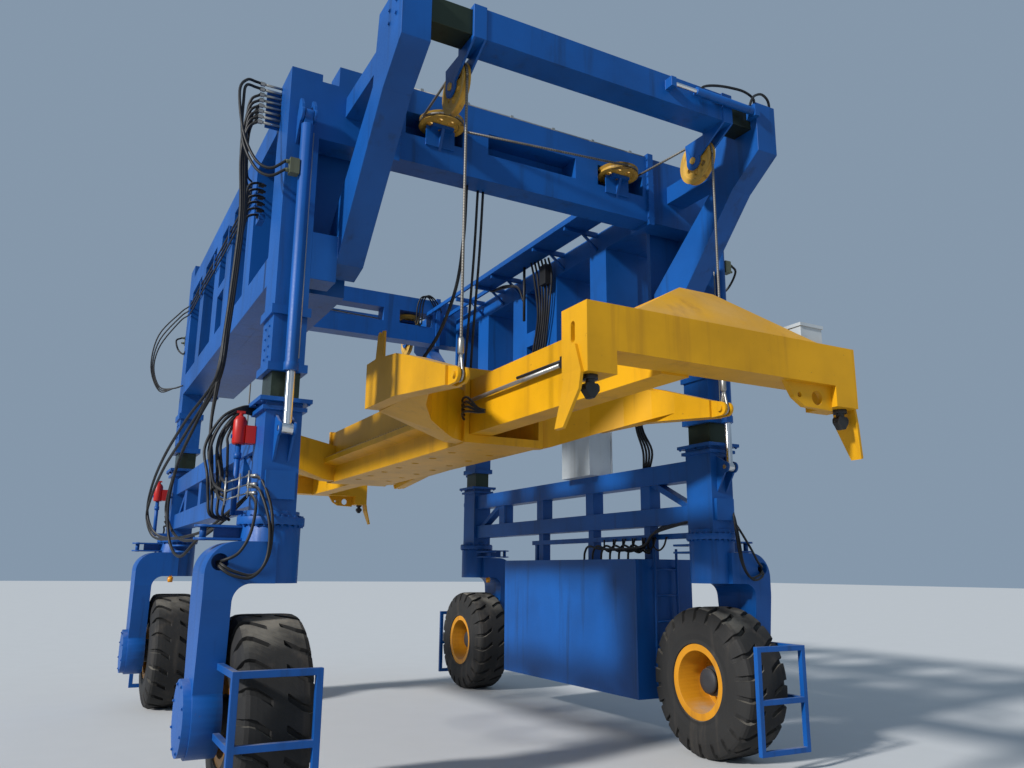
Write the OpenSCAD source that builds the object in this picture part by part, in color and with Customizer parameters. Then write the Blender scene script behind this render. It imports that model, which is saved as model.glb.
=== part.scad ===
// Straddle carrier with a telescopic lifting frame.
// X runs across, Y runs from the front end (minus) to the rear end (plus), Z is up.
// The origin lies on the ground, midway between the four wheels.
// A corner piece is drawn once, at plus X and plus Y, and mirrored to the other corners.

/* [Stance] */
// Distance of each steering axis from the middle, across
leg_x = 2365; // [2300:10:2480]
// Distance of each steering axis from the middle, lengthways
leg_y = 2900; // [2860:10:2940]

/* [Wheels] */
// Diameter over the tread
tyre_d = 1500; // [1440:10:1560]
// Width of the tyre
tyre_w = 575; // [540:5:600]
// Diameter of the tyre's bead
bead_d = 660; // [600:10:700]
// Height of the rim's flange over the bead
rim_flange = 50; // [30:5:60]
// Width of the rim's flange, which the tyre's bead lies against
flange_w = 12; // [8:1:16]
// Thickness of the rim's well and disc
rim_t = 22; // [14:1:30]
// Diameter of the wheel spindle
spindle_d = 130; // [100:5:150]
// Diameter of the wheel hub
hub_d = 300; // [260:10:340]

/* [Forks] */
// Gap between the tyre and the fork's arm
arm_gap = 30; // [20:5:50]
// Thickness of the fork's arm, across
arm_t = 215; // [180:5:240]
// Width of the fork's arm at its top, lengthways
arm_top_w = 600; // [520:10:640]
// Width of the fork's arm just over the hub
arm_low_w = 430; // [380:10:470]
// Diameter of the fork's hub drum
drum_d = 600; // [540:10:640]
// Height of the fork's top plate over the ground
fork_top = 2060; // [2020:10:2100]
// Depth of the fork's beam
beam_h = 320; // [280:10:360]
// Radius of the fork's outer top corner
fork_round = 250; // [200:10:340]
// Diameter of the fork's round head
head_d = 480; // [460:10:500]
// Diameter of the fork's pivot pin
pivot_d = 180; // [140:5:220]
// Reach of the steering lever from the pivot's axis
lever_reach = 480; // [440:10:500]
// Thickness of the round hub cover
cover_t = 60; // [40:5:80]

/* [Wheel guards] */
// Side of the guard's square tube
guard_tube = 50; // [40:5:60]
// Width of the guard frame
guard_w = 640; // [560:10:680]
// Height of the guard frame's lower edge
guard_low = 170; // [120:10:240]
// Height of the guard frame's upper edge
guard_high = 1160; // [1000:10:1240]
// Gap between the tyre and the guard frame
guard_gap = 60; // [40:5:90]

/* [Legs] */
// Height of the slewing ring's flange on the leg
ring_z = 2200; // [2180:5:2240]
// Diameter of the slewing ring's flange
ring_d = 540; // [520:10:560]
// Thickness of the slewing ring's flange
ring_t = 60; // [40:5:80]
// Width of the lower column, across
col_x = 300; // [290:5:320]
// Width of the lower column, lengthways
col_y = 405; // [400:5:430]
// Wall of the lower column
col_wall = 18; // [12:1:20]
// Height of the lower column's top flange
col_top = 3230; // [3180:10:3280]
// Overhang of the lower column's flange
flange_over = 65; // [40:5:80]
// Thickness of a flange plate
flange_t = 35; // [25:5:45]
// Width of the inner column, across
inner_x = 236; // [220:2:240]
// Width of the inner column, lengthways
inner_y = 350; // [330:5:355]
// Wall of the inner column
inner_wall = 14; // [10:1:18]
// Height of the inner column's top
inner_top = 5650; // [5500:10:5700]
// Running gap between a sliding sleeve and what it slides on
slide_gap = 5; // [5:0.5:6]
// Wall of the upper post
post_wall = 18; // [14:1:22]
// Height of the upper post's lower end
post_low = 3460; // [3440:10:3520]
// Height of the upper post's top
post_top = 6280; // [6250:10:6350]

/* [Lift cylinders] */
// Distance of the cylinder's axis from the leg's axis
lift_out = 330; // [320:5:350]
// Outer diameter of the barrel
lift_barrel_d = 108; // [104:2:120]
// Bore of the barrel
lift_bore_d = 88; // [84:2:100]
// Diameter of the rod
lift_rod_d = 76; // [64:2:80]
// Height of the upper pin
lift_pin_z = 5760; // [5740:10:5800]
// Height of the barrel's lower end
barrel_low = 3440; // [3400:10:3460]
// Height of the lower pin
rod_pin_z = 2960; // [2900:10:2990]
// Diameter of a cylinder pin
lift_pin_d = 50; // [40:2:56]

/* [Upper side frames] */
// Thickness of the side frame, across
ladder_t = 220; // [180:10:240]
// Height of the side frame's underside
ladder_low = 4310; // [4290:10:4340]
// Height of the side frame's top
ladder_top = 6100; // [6050:10:6150]
// Depth of the lower chord
chord_low_h = 280; // [240:10:300]
// Depth of the upper chord
chord_top_h = 260; // [220:10:280]
// Width of a wide window
window_w = 880; // [800:10:900]
// Width of the middle window
window_mid_w = 440; // [380:10:480]
// Distance from the middle to the first wide window's centre
window_y1 = 1020; // [1000:5:1040]
// Distance from the middle to the second wide window's centre
window_y2 = 2230; // [2215:5:2235]
// Height of the bar across the middle window
mid_bar_z = 5050; // [5000:10:5100]
// Depth of the bar across the middle window
mid_bar_h = 120; // [100:10:160]

/* [Cross beams at the legs] */
// Depth of the cross beam
cross_h = 770; // [760:5:780]
// Height of the cross beam's top
cross_top = 6410; // [6400:10:6440]
// Thickness of the cross beam, lengthways
cross_t = 280; // [260:10:300]
// Distance from the middle to the beam's bolted joint
joint_x = 1500; // [1460:10:1540]
// Distance from the leg's axis to the step in the cross beam's top
notch_x = 295; // [280:5:320]
// Depth of that step
notch_h = 200; // [180:10:220]
// Depth of a cross beam's lower chord
cross_chord_h = 285; // [250:5:290]
// Depth of a cross beam's upper chord
cross_chord_top = 255; // [240:5:260]
// Half the width of the middle window
cross_win = 520; // [460:10:560]
// Distance from the middle to the outer window's inner edge
cross_win_x = 805; // [790:5:815]

/* [Cranked arms] */
// Distance of each arm from the middle
arm_x = 1870; // [1850:5:1885]
// Width of each arm
crank_w = 250; // [230:10:260]
// Reach of the arm's end face from the middle
crank_reach = 4510; // [4480:10:4540]
// Height of the arm's top
crank_top = 6440; // [6430:10:6460]
// Height of the arm's foot
crank_foot = 4500; // [4480:10:4540]
// Depth of the arm's head, lengthways
crank_head = 560; // [520:10:580]
// Depth of the tie bar between the cross beam and the arm
tie_h = 200; // [160:10:220]
// Height of the tie bar's underside
tie_low = 5910; // [5890:10:5930]

/* [Side shift] */
// Distance of the shift beam's axis from the middle
shift_y = 4310; // [4300:5:4330]
// Height of the shift beam's axis
shift_z = 6295; // [6290:5:6300]
// Outer side of the sliding sleeve
sleeve_side = 285; // [280:1:290]
// Wall of the sliding sleeve
sleeve_wall = 20; // [16:1:22]
// Half the length of the sliding sleeve
sleeve_half = 1365; // [1350:5:1400]
// Wall of the fixed tube inside the sleeve
tube_wall = 14; // [10:1:18]
// Outer diameter of the shift cylinder's barrel
shift_barrel_d = 80; // [70:2:84]
// Bore of the shift cylinder's barrel
shift_bore_d = 60; // [54:1:62]
// Diameter of the shift cylinder's rod
shift_rod_d = 40; // [30:1:46]
// How far the sleeves and the lifting frame stand to the right of the middle
shift_rest = 60; // [-60:5:80]
// Distance of the shift cylinder's lug from the middle
shift_lug_x = 650; // [630:5:670]

/* [Hoist] */
// Distance of each rope from the middle, across
rope_x = 1350; // [1340:5:1360]
// Distance of each rope from the middle, lengthways
rope_y = 4220; // [4200:5:4250]
// Diameter of a rope
rope_d = 24; // [16:1:28]
// Diameter of a sheave over its flanges
sheave_d = 460; // [420:5:460]
// Depth of a sheave's groove
groove_h = 22; // [16:1:26]
// Width of a sheave
sheave_w = 64; // [50:2:70]
// Diameter of a sheave's pin
sheave_pin_d = 70; // [60:2:80]
// Height of a hoist sheave's axis
sheave_z = 5930; // [5920:5:5940]
// Thickness of a sheave's cheek plate
cheek_t = 22; // [16:1:26]
// Side gap between a sheave and its cheeks
cheek_gap = 6; // [5:0.5:8]
// Diameter of a deflection sheave
deflect_d = 440; // [420:5:445]
// Distance of a deflection sheave from the middle
deflect_x = 1050; // [1040:5:1060]
// Distance of a deflection sheave's axis from the cross beam's face
deflect_out = 30; // [20:5:60]

/* [Lifting frame] */
// Half the width of the main body
body_half = 425; // [415:5:435]
// Height of the main body's underside
body_low = 3115; // [3100:5:3120]
// Height of the main body's top
body_top = 3870; // [3860:5:3890]
// Half the length of the main body
body_y = 2420; // [2400:10:2440]
// Wall of the main body
body_wall = 20; // [16:1:22]
// Height of a telescopic beam's top
tele_top = 3760; // [3740:5:3770]
// Width of a telescopic beam
beam_w = 245; // [220:5:280]
// Height of a telescopic beam's underside over the body's floor
tele_lift = 65; // [50:5:75]
// Wall of a telescopic beam
tele_wall = 20; // [14:1:24]
// Length of a telescopic beam left inside the body
tele_in = 3480; // [3400:10:3500]
// Length of the collar round the body's open end
collar_l = 260; // [200:10:280]
// Width of the collar's outer band
collar_w = 60; // [50:5:80]
// Height of that band over the body's sides
collar_out = 35; // [25:5:45]
// Travel of each end from the long to the short setting
tele_travel = 1000; // [900:10:1050]
// Distance of the end beam's outer face from the middle
end_y = 5790; // [5760:10:5830]
// Half the width over the end beams
end_half = 1215; // [1200:5:1225]
// Depth of the end beam, lengthways
end_t = 300; // [280:10:320]
// Height of the end beam's top
end_top = 3520; // [3500:5:3540]
// Height of the end beam's underside
end_low = 3215; // [3205:5:3225]
// Height of the corner box's underside
corner_low = 3060; // [3050:5:3080]
// Width of the corner box
corner_w = 225; // [210:5:240]
// Height of the hood's top
hood_top = 3890; // [3860:10:3900]
// Distance of the twistlock's axis from the end beam's outer side
lock_in = 85; // [80:1:95]
// Distance of the twistlock's axis from the end beam's face
lock_back = 100; // [90:5:150]
// Diameter of the twistlock's shank
lock_d = 60; // [50:2:70]
// Height of the yoke arm's lug
lug_z = 3335; // [3330:5:3345]
// Diameter of the yoke arm's pin
lug_pin_d = 56; // [44:2:60]

/* [Lower side frames] */
// Height of the upper chord's underside
rail_top_low = 2860; // [2850:10:2880]
// Depth of the upper chord
rail_top_h = 220; // [200:10:240]
// Height of the lower chord's underside
rail_low_low = 2380; // [2370:10:2400]
// Depth of the lower chord
rail_low_h = 200; // [180:10:220]
// Thickness of the lower side frame, across
rail_t = 200; // [160:10:220]
// Width of a post of the lower side frame
rail_post = 180; // [140:10:220]

/* [Power unit] */
// Inner face of the housing from the middle
unit_x0 = 2010; // [1990:5:2030]
// Width of the housing
unit_w = 820; // [760:10:840]
// Front end of the housing from the middle
unit_y0 = 2000; // [1980:5:2010]
// Length of the housing
unit_l = 3200; // [3000:20:3400]
// Height of the housing's underside
unit_low = 460; // [420:10:500]
// Height of the housing's top
unit_top = 2000; // [1950:10:2050]
// Wall of the housing
unit_wall = 30; // [20:2:40]
// Thickness of a door
door_t = 30; // [24:2:30]
// Gap round a door
door_gap = 6; // [5:0.5:10]

/* [Control cabinet] */
// Front end of the cabinet from the middle
cab_y0 = 900; // [850:10:950]
// Length of the cabinet
cab_l = 680; // [640:10:720]
// Width of the cabinet
cab_w = 340; // [320:10:360]
// Distance of the cabinet's inner side from the leg's axis
cab_in = 240; // [220:10:260]
// Height of the cabinet
cab_h = 780; // [700:10:820]
// Wall of the cabinet
cab_wall = 24; // [16:2:30]

/* [Hidden] */

eps = 0.01;
pin_fit = 0.05;
seat = 0.3;
facet_gap = 1.2;
paint = "royalblue";
frame_yellow = "gold";
steel = "silver";
grease = "darkslategray";
rubber = "dimgray";

axle_z = tyre_d/2;
cross_low = cross_top - cross_h;
lock_x = end_half - lock_in;
bead_r = bead_d/2;
arm_in = tyre_w/2 + arm_gap;
arm_out = arm_in + arm_t;
fork_low = fork_top - beam_h;
ring_r = ring_d/2;
turn_gap = 6;
guard_y = tyre_d/2 + guard_gap;
post_x = inner_x + 2*slide_gap + 2*post_wall;
post_y = inner_y + 2*slide_gap + 2*post_wall;
post_in_x = inner_x + 2*slide_gap;
post_in_y = inner_y + 2*slide_gap;
post_face = leg_y + post_y/2;
col_floor = ring_z + ring_t + 40;
tube_side = sleeve_side - 2*sleeve_wall - 2*slide_gap;
crank_in = arm_x - crank_w/2;
crank_out = arm_x + crank_w/2;
cross_y0 = post_face - cross_t;
sheave_y = rope_y - sheave_d/2 + groove_h - rope_d/2;
window_low = ladder_low + chord_low_h;
window_high = ladder_top - chord_top_h;
ladder_y = leg_y - post_y/2;
unit_y1 = unit_l - unit_y0;
beam_half = body_half - body_wall - slide_gap;
tele_low = body_low + body_wall + tele_lift;

// Mirrors a piece drawn at plus X and plus Y to the corner with these signs
module at_corner(sx, sy) {
    mirror([sx < 0 ? 1 : 0, 0, 0])
        mirror([0, sy < 0 ? 1 : 0, 0])
            children();
}

// Draws a piece at all four corners
module four() {
    for (sx = [-1, 1])
        for (sy = [-1, 1])
            at_corner(sx, sy) children();
}

// Draws a piece at plus X or mirrored to minus X
module on_side(side) {
    mirror([side < 0 ? 1 : 0, 0, 0]) children();
}

// Draws a piece at the front and at the rear
module both_ends() {
    for (sy = [-1, 1])
        mirror([0, sy < 0 ? 1 : 0, 0]) children();
}

// A block between two opposite corners
module block(x0, x1, y0, y1, z0, z1) {
    translate([x0, y0, z0])
        cube([x1 - x0, y1 - y0, z1 - z0]);
}

// A block centred on the Z axis
module post_block(wx, wy, z0, z1) {
    block(-wx/2, wx/2, -wy/2, wy/2, z0, z1);
}

// A cylinder along X, centred at a height and a distance
module rod_x(d, x0, x1, y, z) {
    translate([x0, y, z])
        rotate([0, 90, 0])
            cylinder(d = d, h = x1 - x0, $fn = 48);
}

// A cylinder along Y
module rod_y(d, y0, y1, x, z) {
    translate([x, y0, z])
        rotate([-90, 0, 0])
            cylinder(d = d, h = y1 - y0, $fn = 48);
}

// A profile drawn in Y and Z, extruded along X
module along_x(x0, x1) {
    translate([x0, 0, 0])
        rotate([90, 0, 90])
            linear_extrude(x1 - x0)
                children();
}

// A profile drawn in X and Z, extruded along Y
module along_y(y0, y1) {
    translate([0, y1, 0])
        rotate([90, 0, 0])
            linear_extrude(y1 - y0)
                children();
}

// Lower column, with its slewing flange, its bolted top flange and the rod's bracket
module lower_column() {
    translate([leg_x, leg_y, 0])
        difference() {
            union() {
                post_block(col_x, col_y, ring_z + ring_t - eps, col_top);
                post_block(col_x + 2*flange_over, col_y + 2*flange_over,
                           col_top - flange_t, col_top);
                post_block(col_x + flange_over, col_y + flange_over,
                           col_top - 3*flange_t, col_top - 2*flange_t);
                translate([0, 0, ring_z])
                    cylinder(r = ring_r, h = ring_t, $fn = 96);
                translate([0, 0, ring_z + ring_t - eps])
                    cylinder(r = ring_r - 45, h = 50, $fn = 96);
                rod_bracket();
            }
            post_block(inner_x + 2*seat, inner_y + 2*seat, col_floor, col_top + 1);
            translate([0, 0, ring_z - 1])
                cylinder(d = pivot_d + 2*pin_fit, h = pivot_l() + 3, $fn = 64);
        }
}

function pivot_l() = ring_t + 10;

// Two tapered cheeks with the lower pin between them
module rod_bracket() {
    for (side = [-1, 1])
        translate([side*(lift_rod_d/2 + 22), 0, 0])
            difference() {
                along_x(-10, 10) {
                    polygon([
                        [col_y/2 - eps, rod_pin_z - 260],
                        [lift_out, rod_pin_z - 60],
                        [lift_out, rod_pin_z + 60],
                        [col_y/2 - eps, rod_pin_z + 130]
                    ]);
                    translate([lift_out, rod_pin_z])
                        circle(r = 60, $fn = 48);
                }
                rod_x(lift_pin_d + 2*pin_fit, -11, 11, lift_out, rod_pin_z);
            }
}

module lower_columns() color(paint) four() lower_column();

module inner_columns() {
    color(grease)
        four()
            translate([leg_x, leg_y, 0])
                difference() {
                    post_block(inner_x, inner_y, col_floor, inner_top);
                    post_block(inner_x - 2*inner_wall, inner_y - 2*inner_wall,
                               col_floor + 30, inner_top + 1);
                }
}

// Rod of a lift cylinder, with its lower eye and pin
module lift_rod() {
    translate([leg_x, leg_y + lift_out, 0]) {
        translate([0, 0, rod_pin_z])
            cylinder(d = lift_rod_d, h = barrel_low + 1950 - rod_pin_z, $fn = 48);
        rod_x(100, -lift_rod_d/2 - 10, lift_rod_d/2 + 10, 0, rod_pin_z);
        rod_x(lift_pin_d, -lift_rod_d/2 - 36, lift_rod_d/2 + 36, 0, rod_pin_z);
        translate([0, 0, barrel_low + 1900])
            cylinder(d = lift_bore_d - 2*pin_fit, h = 50, $fn = 48);
    }
}

module lift_rods() color(steel) four() lift_rod();

// Barrel of a lift cylinder, with its gland and upper eye
module lift_barrel() {
    translate([leg_x, leg_y + lift_out, 0])
        difference() {
            union() {
                translate([0, 0, barrel_low])
                    cylinder(d = lift_barrel_d, h = lift_pin_z - 95 - barrel_low, $fn = 48);
                translate([0, 0, barrel_low])
                    cylinder(d = lift_barrel_d + 16, h = 70, $fn = 48);
                rod_x(110, -36, 36, 0, lift_pin_z);
                block(-36, 36, -40, 40, lift_pin_z - 96, lift_pin_z);
            }
            translate([0, 0, barrel_low + 60])
                cylinder(d = lift_bore_d, h = lift_pin_z - 150 - barrel_low - 60, $fn = 48);
            translate([0, 0, barrel_low - 1])
                cylinder(d = lift_rod_d + 2*pin_fit, h = 80, $fn = 48);
            rod_x(lift_pin_d + 2*pin_fit, -40, 40, 0, lift_pin_z);
        }
}

module lift_barrels() color(paint) four() lift_barrel();

// Upper post: a sleeve over the inner column, with collars, cap, cylinder lugs
// and the stub that carries the cross beam
module upper_post() {
    difference() {
        union() {
            translate([leg_x, leg_y, 0]) {
                post_block(post_x, post_y, post_low, post_top);
                for (band = [[post_low, 70], [post_low + 490, 80]])
                    post_block(post_x + 50, post_y + 50, band[0], band[0] + band[1]);
                for (side = [-1, 1])
                    difference() {
                        along_x(side*54 - 12, side*54 + 12) {
                            polygon([
                                [post_y/2 - eps, lift_pin_z - 230],
                                [lift_out - 30, lift_pin_z - 70],
                                [lift_out + 50, lift_pin_z],
                                [lift_out + 30, lift_pin_z + 90],
                                [lift_out - 25, lift_pin_z + 165],
                                [lift_out - 70, lift_pin_z + 175],
                                [post_y/2 - eps, lift_pin_z + 40]
                            ]);
                            translate([lift_out, lift_pin_z])
                                circle(r = 62, $fn = 48);
                        }
                        rod_x(lift_pin_d, side*54 - 8, side*54 + 8, lift_out, lift_pin_z);
                    }
                rod_x(lift_pin_d, -60, 60, lift_out, lift_pin_z);
            }
            cross_stub();
        }
        translate([leg_x, leg_y, 0])
            post_block(post_in_x, post_in_y, post_low - 1, post_top - 30);
    }
}

// The end of the cross beam that is welded to the post, out to the bolted joint
module cross_stub() {
    block(joint_x, leg_x - notch_x, cross_y0, post_face, cross_low, cross_top);
    block(leg_x - notch_x - eps, leg_x - post_x/2 + eps, cross_y0, post_face, cross_low,
          cross_top - notch_h);
    block(joint_x, joint_x + flange_t, cross_y0 - 30, post_face + 30,
          cross_low - 40, cross_top + 40);
}

module upper_posts() color(paint) four() upper_post();

// Upper side frame at plus X, a box girder with windows
module side_ladder() {
    x1 = leg_x + post_x/2;
    x0 = x1 - ladder_t;
    difference() {
        block(x0, x1, -ladder_y, ladder_y, ladder_low, ladder_top);
        for (c = [-window_y2, -window_y1, window_y1, window_y2])
            block(x0 - 1, x1 + 1, c - window_w/2, c + window_w/2, window_low, window_high);
        block(x0 - 1, x1 + 1, -window_mid_w/2, window_mid_w/2, window_low, mid_bar_z);
        block(x0 - 1, x1 + 1, -window_mid_w/2, window_mid_w/2,
              mid_bar_z + mid_bar_h, window_high);
    }
}

module side_ladder_left() color(paint) mirror([1, 0, 0]) side_ladder();
module side_ladder_right() color(paint) side_ladder();

// Middle part of a cross beam, with its windows, end flanges and sheave brackets
module cross_beam() {
    w0 = cross_low + cross_chord_h;
    w1 = cross_top - cross_chord_top;
    difference() {
        union() {
            block(-joint_x, joint_x, cross_y0, post_face, cross_low, cross_top);
            for (side = [-1, 1])
                block(side > 0 ? joint_x - flange_t : -joint_x,
                      side > 0 ? joint_x : -joint_x + flange_t,
                      cross_y0 - 30, post_face + 30, cross_low - 40, cross_top + 40);
        }
        block(-cross_win, cross_win, cross_y0 - 1, post_face + 1, w0, w1);
        for (side = [-1, 1])
            mirror([side < 0 ? 1 : 0, 0, 0])
                block(cross_win_x, joint_x - flange_t - 60, cross_y0 - 1, post_face + 1, w0, w1);
    }
    for (side = [-1, 1])
        translate([side*deflect_x, 0, 0])
            deflection_bracket();
}

// Bracket that carries a flat-lying sheave in front of the cross beam
module deflection_bracket() {
    z = deflect_z();
    difference() {
        union() {
            block(-110, 110, post_face - 70, deflect_y() + 60, z - sheave_w/2 - 40,
                  z - sheave_w/2 - cheek_gap);
            block(-150, 150, post_face - eps, post_face + 15, z - 240,
                  z - sheave_w/2 - cheek_gap);
            along_x(-15, 15)
                polygon([
                    [post_face - eps, z - sheave_w/2 - 240],
                    [deflect_y() + 55, z - sheave_w/2 - 40 + eps],
                    [post_face - eps, z - sheave_w/2 - 40 + eps]
                ]);
        }
        translate([0, deflect_y(), z - sheave_w/2 - 41])
            cylinder(d = sheave_pin_d + 2*pin_fit, h = 200, $fn = 48);
    }
}

function deflect_y() = post_face + deflect_out;
function deflect_z() = cross_top - cross_chord_top - sheave_w/2 - 28;

module cross_beams() color(paint) both_ends() cross_beam();

// Sheave with a groove, six lightening holes and its pin, turned about Z
module sheave(d, pin_l) {
    r = d/2;
    difference() {
        rotate_extrude($fn = 72)
            polygon([
                [sheave_pin_d/2 + 20, -sheave_w/2],
                [r - 60, -sheave_w/4],
                [r - groove_h - 22, -sheave_w/2],
                [r, -sheave_w/2],
                [r - groove_h, -8],
                [r - groove_h, 8],
                [r, sheave_w/2],
                [r - groove_h - 22, sheave_w/2],
                [r - 60, sheave_w/4],
                [sheave_pin_d/2 + 20, sheave_w/2],
                [0, sheave_w/2],
                [0, -sheave_w/2]
            ]);
        for (k = [0:5])
            rotate([0, 0, k*60])
                translate([0.52*r, 0, -sheave_w])
                    cylinder(d = 0.26*r, h = 2*sheave_w, $fn = 24);
    }
    translate([0, 0, -pin_l/2])
        cylinder(d = sheave_pin_d, h = pin_l, $fn = 48);
}

module deflection_sheaves() {
    color(frame_yellow)
        four()
            translate([deflect_x, deflect_y(), deflect_z()])
                sheave(deflect_d, sheave_w + 2*cheek_gap + 40);
}

// Cranked arm from the post out to the shift beam, with its foot and tie bar
module cranked_arm() {
    tie_end = crank_reach - crank_head;
    along_x(crank_in, crank_out)
        polygon([
            [cross_y0, crank_foot - 60],
            [post_face - 30, crank_foot],
            [4120, 5650],
            [crank_reach, 5920],
            [crank_reach, crank_top],
            [tie_end, crank_top],
            [tie_end - 90, 5800],
            [cross_y0, crank_foot + 420]
        ]);
    block(crank_out - eps, leg_x - post_x/2 - seat, cross_y0, post_face,
          crank_foot - 190, crank_foot + 240);
    block(crank_in, crank_out, post_face + seat, tie_end - 20, tie_low, tie_low + tie_h);
}

module cranked_arms() color(paint) four() cranked_arm();

// Fixed square tube between the two arms of one end
module shift_tubes() {
    color(grease)
        both_ends()
            difference() {
                translate([0, shift_y, shift_z])
                    cube([2*crank_in, tube_side, tube_side], center = true);
                translate([0, shift_y, shift_z])
                    cube([2*crank_in + 2, tube_side - 2*tube_wall,
                          tube_side - 2*tube_wall], center = true);
            }
}

// Sliding sleeve with two pairs of sheave cheeks, collars and the cylinder's lug
module shift_sleeve() {
    low = shift_z - sleeve_side/2;
    difference() {
        union() {
            translate([0, shift_y, shift_z])
                cube([2*sleeve_half, sleeve_side, sleeve_side], center = true);
            for (side = [-1, 1]) {
                translate([side*rope_x, shift_y, shift_z])
                    cube([2*cheek_out(), sleeve_side + 24, sleeve_side + 24], center = true);
                for (s2 = [-1, 1])
                    translate([side*rope_x + s2*(cheek_out() - cheek_t/2), 0, 0])
                        along_x(-cheek_t/2, cheek_t/2) {
                            polygon([
                                [shift_y + sleeve_side/2 + 12, low - 12],
                                [sheave_y + 95, sheave_z + 10],
                                [sheave_y - 95, sheave_z],
                                [sheave_y - 110, low - 12],
                                [shift_y - sleeve_side/2, low - 12],
                                [shift_y - sleeve_side/2, low + 30],
                                [shift_y + sleeve_side/2 + 12, low + 30]
                            ]);
                            translate([sheave_y, sheave_z])
                                circle(r = 96, $fn = 48);
                        }
            }
            shift_lug();
        }
        translate([0, shift_y, shift_z])
            cube([2*crank_in, tube_side + 2*slide_gap, tube_side + 2*slide_gap],
                 center = true);
        for (side = [-1, 1])
            rod_x(sheave_pin_d + 2*pin_fit, side*rope_x - 200, side*rope_x + 200,
                  sheave_y, sheave_z);
    }
}

function cheek_out() = sheave_w/2 + cheek_gap + cheek_t;
function shift_cyl_y() = shift_y + sleeve_side/2 + 12 + shift_barrel_d/2 + 8;
function shift_cyl_z() = shift_z + 25;

// Lug on the sleeve that the shift rod pushes
module shift_lug() {
    y0 = shift_y + sleeve_side/2;
    block(shift_lug_x - 60, shift_lug_x, y0 - eps, shift_cyl_y() + 35,
          shift_cyl_z() - 50, shift_cyl_z() + 50);
}

// Places what hangs on the sliding sleeves
module shifted() {
    translate([shift_rest, 0, 0])
        children();
}

module shift_sleeves() color(paint) both_ends() shifted() shift_sleeve();

module hoist_sheaves() {
    color(frame_yellow)
        shifted()
            four()
                translate([rope_x, sheave_y, sheave_z])
                    rotate([0, 90, 0])
                        sheave(sheave_d, 2*cheek_out() + 24);
}

// Barrel of the shift cylinder, held by the arm
module shift_barrels() {
    color(paint)
        both_ends()
            difference() {
                union() {
                    rod_x(shift_barrel_d, shift_lug_x + 320, crank_in - 20,
                          shift_cyl_y(), shift_cyl_z());
                    block(crank_in - 60, crank_in, shift_cyl_y() - 80, shift_cyl_y() + 45,
                          shift_cyl_z() - 60, shift_cyl_z() + 60);
                }
                rod_x(shift_bore_d, shift_lug_x + 350, crank_in - 80,
                      shift_cyl_y(), shift_cyl_z());
                rod_x(shift_rod_d + 2*pin_fit, shift_lug_x + 300, shift_lug_x + 360,
                      shift_cyl_y(), shift_cyl_z());
            }
}

// Rod of the shift cylinder, welded to the sleeve's lug
module shift_rods() {
    color(steel)
        both_ends() shifted() {
            rod_x(shift_rod_d, shift_lug_x, shift_lug_x + 600,
                  shift_cyl_y(), shift_cyl_z());
            rod_x(shift_bore_d - 2*pin_fit, shift_lug_x + 560, shift_lug_x + 600,
                  shift_cyl_y(), shift_cyl_z());
        }
}

// The four hoist ropes, from the sheaves down to the yokes' lugs
module hoist_ropes() {
    color("dimgray")
        shifted()
            four()
                translate([rope_x, rope_y, lug_z + lug_pin_d/2 + seat])
                    cylinder(d = rope_d, h = sheave_z - lug_z - lug_pin_d/2 - seat, $fn = 16);
}

// Main body of the lifting frame: a box open at both ends, with ledges along its sides
module frame_body() {
    ledge_z = body_low + 230;
    ledge_y = yoke_back() - seat;
    color(frame_yellow)
        shifted() difference() {
            union() {
                block(-body_half, body_half, -body_y, body_y, body_low, body_top);
                for (side = [-1, 1])
                    mirror([side < 0 ? 1 : 0, 0, 0])
                        along_y(-ledge_y, ledge_y)
                            polygon([
                                [body_half - eps, ledge_z],
                                [body_half + 170, ledge_z + 40],
                                [body_half + 170, ledge_z + 110],
                                [body_half - eps, ledge_z + 200]
                            ]);
                both_ends()
                    block(-body_half - collar_out, body_half + collar_out,
                          body_y - collar_w, body_y, body_low, body_top + 20);
            }
            both_ends()
                block(-beam_half - slide_gap, beam_half + slide_gap, body_y - collar_l - 1,
                      body_y + 1, tele_low - seat, tele_top + slide_gap);
            block(-body_half + body_wall, body_half - body_wall, -body_y + collar_l,
                  body_y - collar_l, body_low + body_wall, body_top - body_wall);
            for (k = [-3:3])
                for (side = [-1, 1])
                    translate([side*230, k*540, body_low - 30])
                        cylinder(d = 90, h = body_wall + 32, $fn = 24);
            for (k = [-1:1])
                block(-260, 260, k*1500 - 380, k*1500 + 380, body_top - body_wall - 1,
                      body_top + 30);
        }
}

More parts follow.
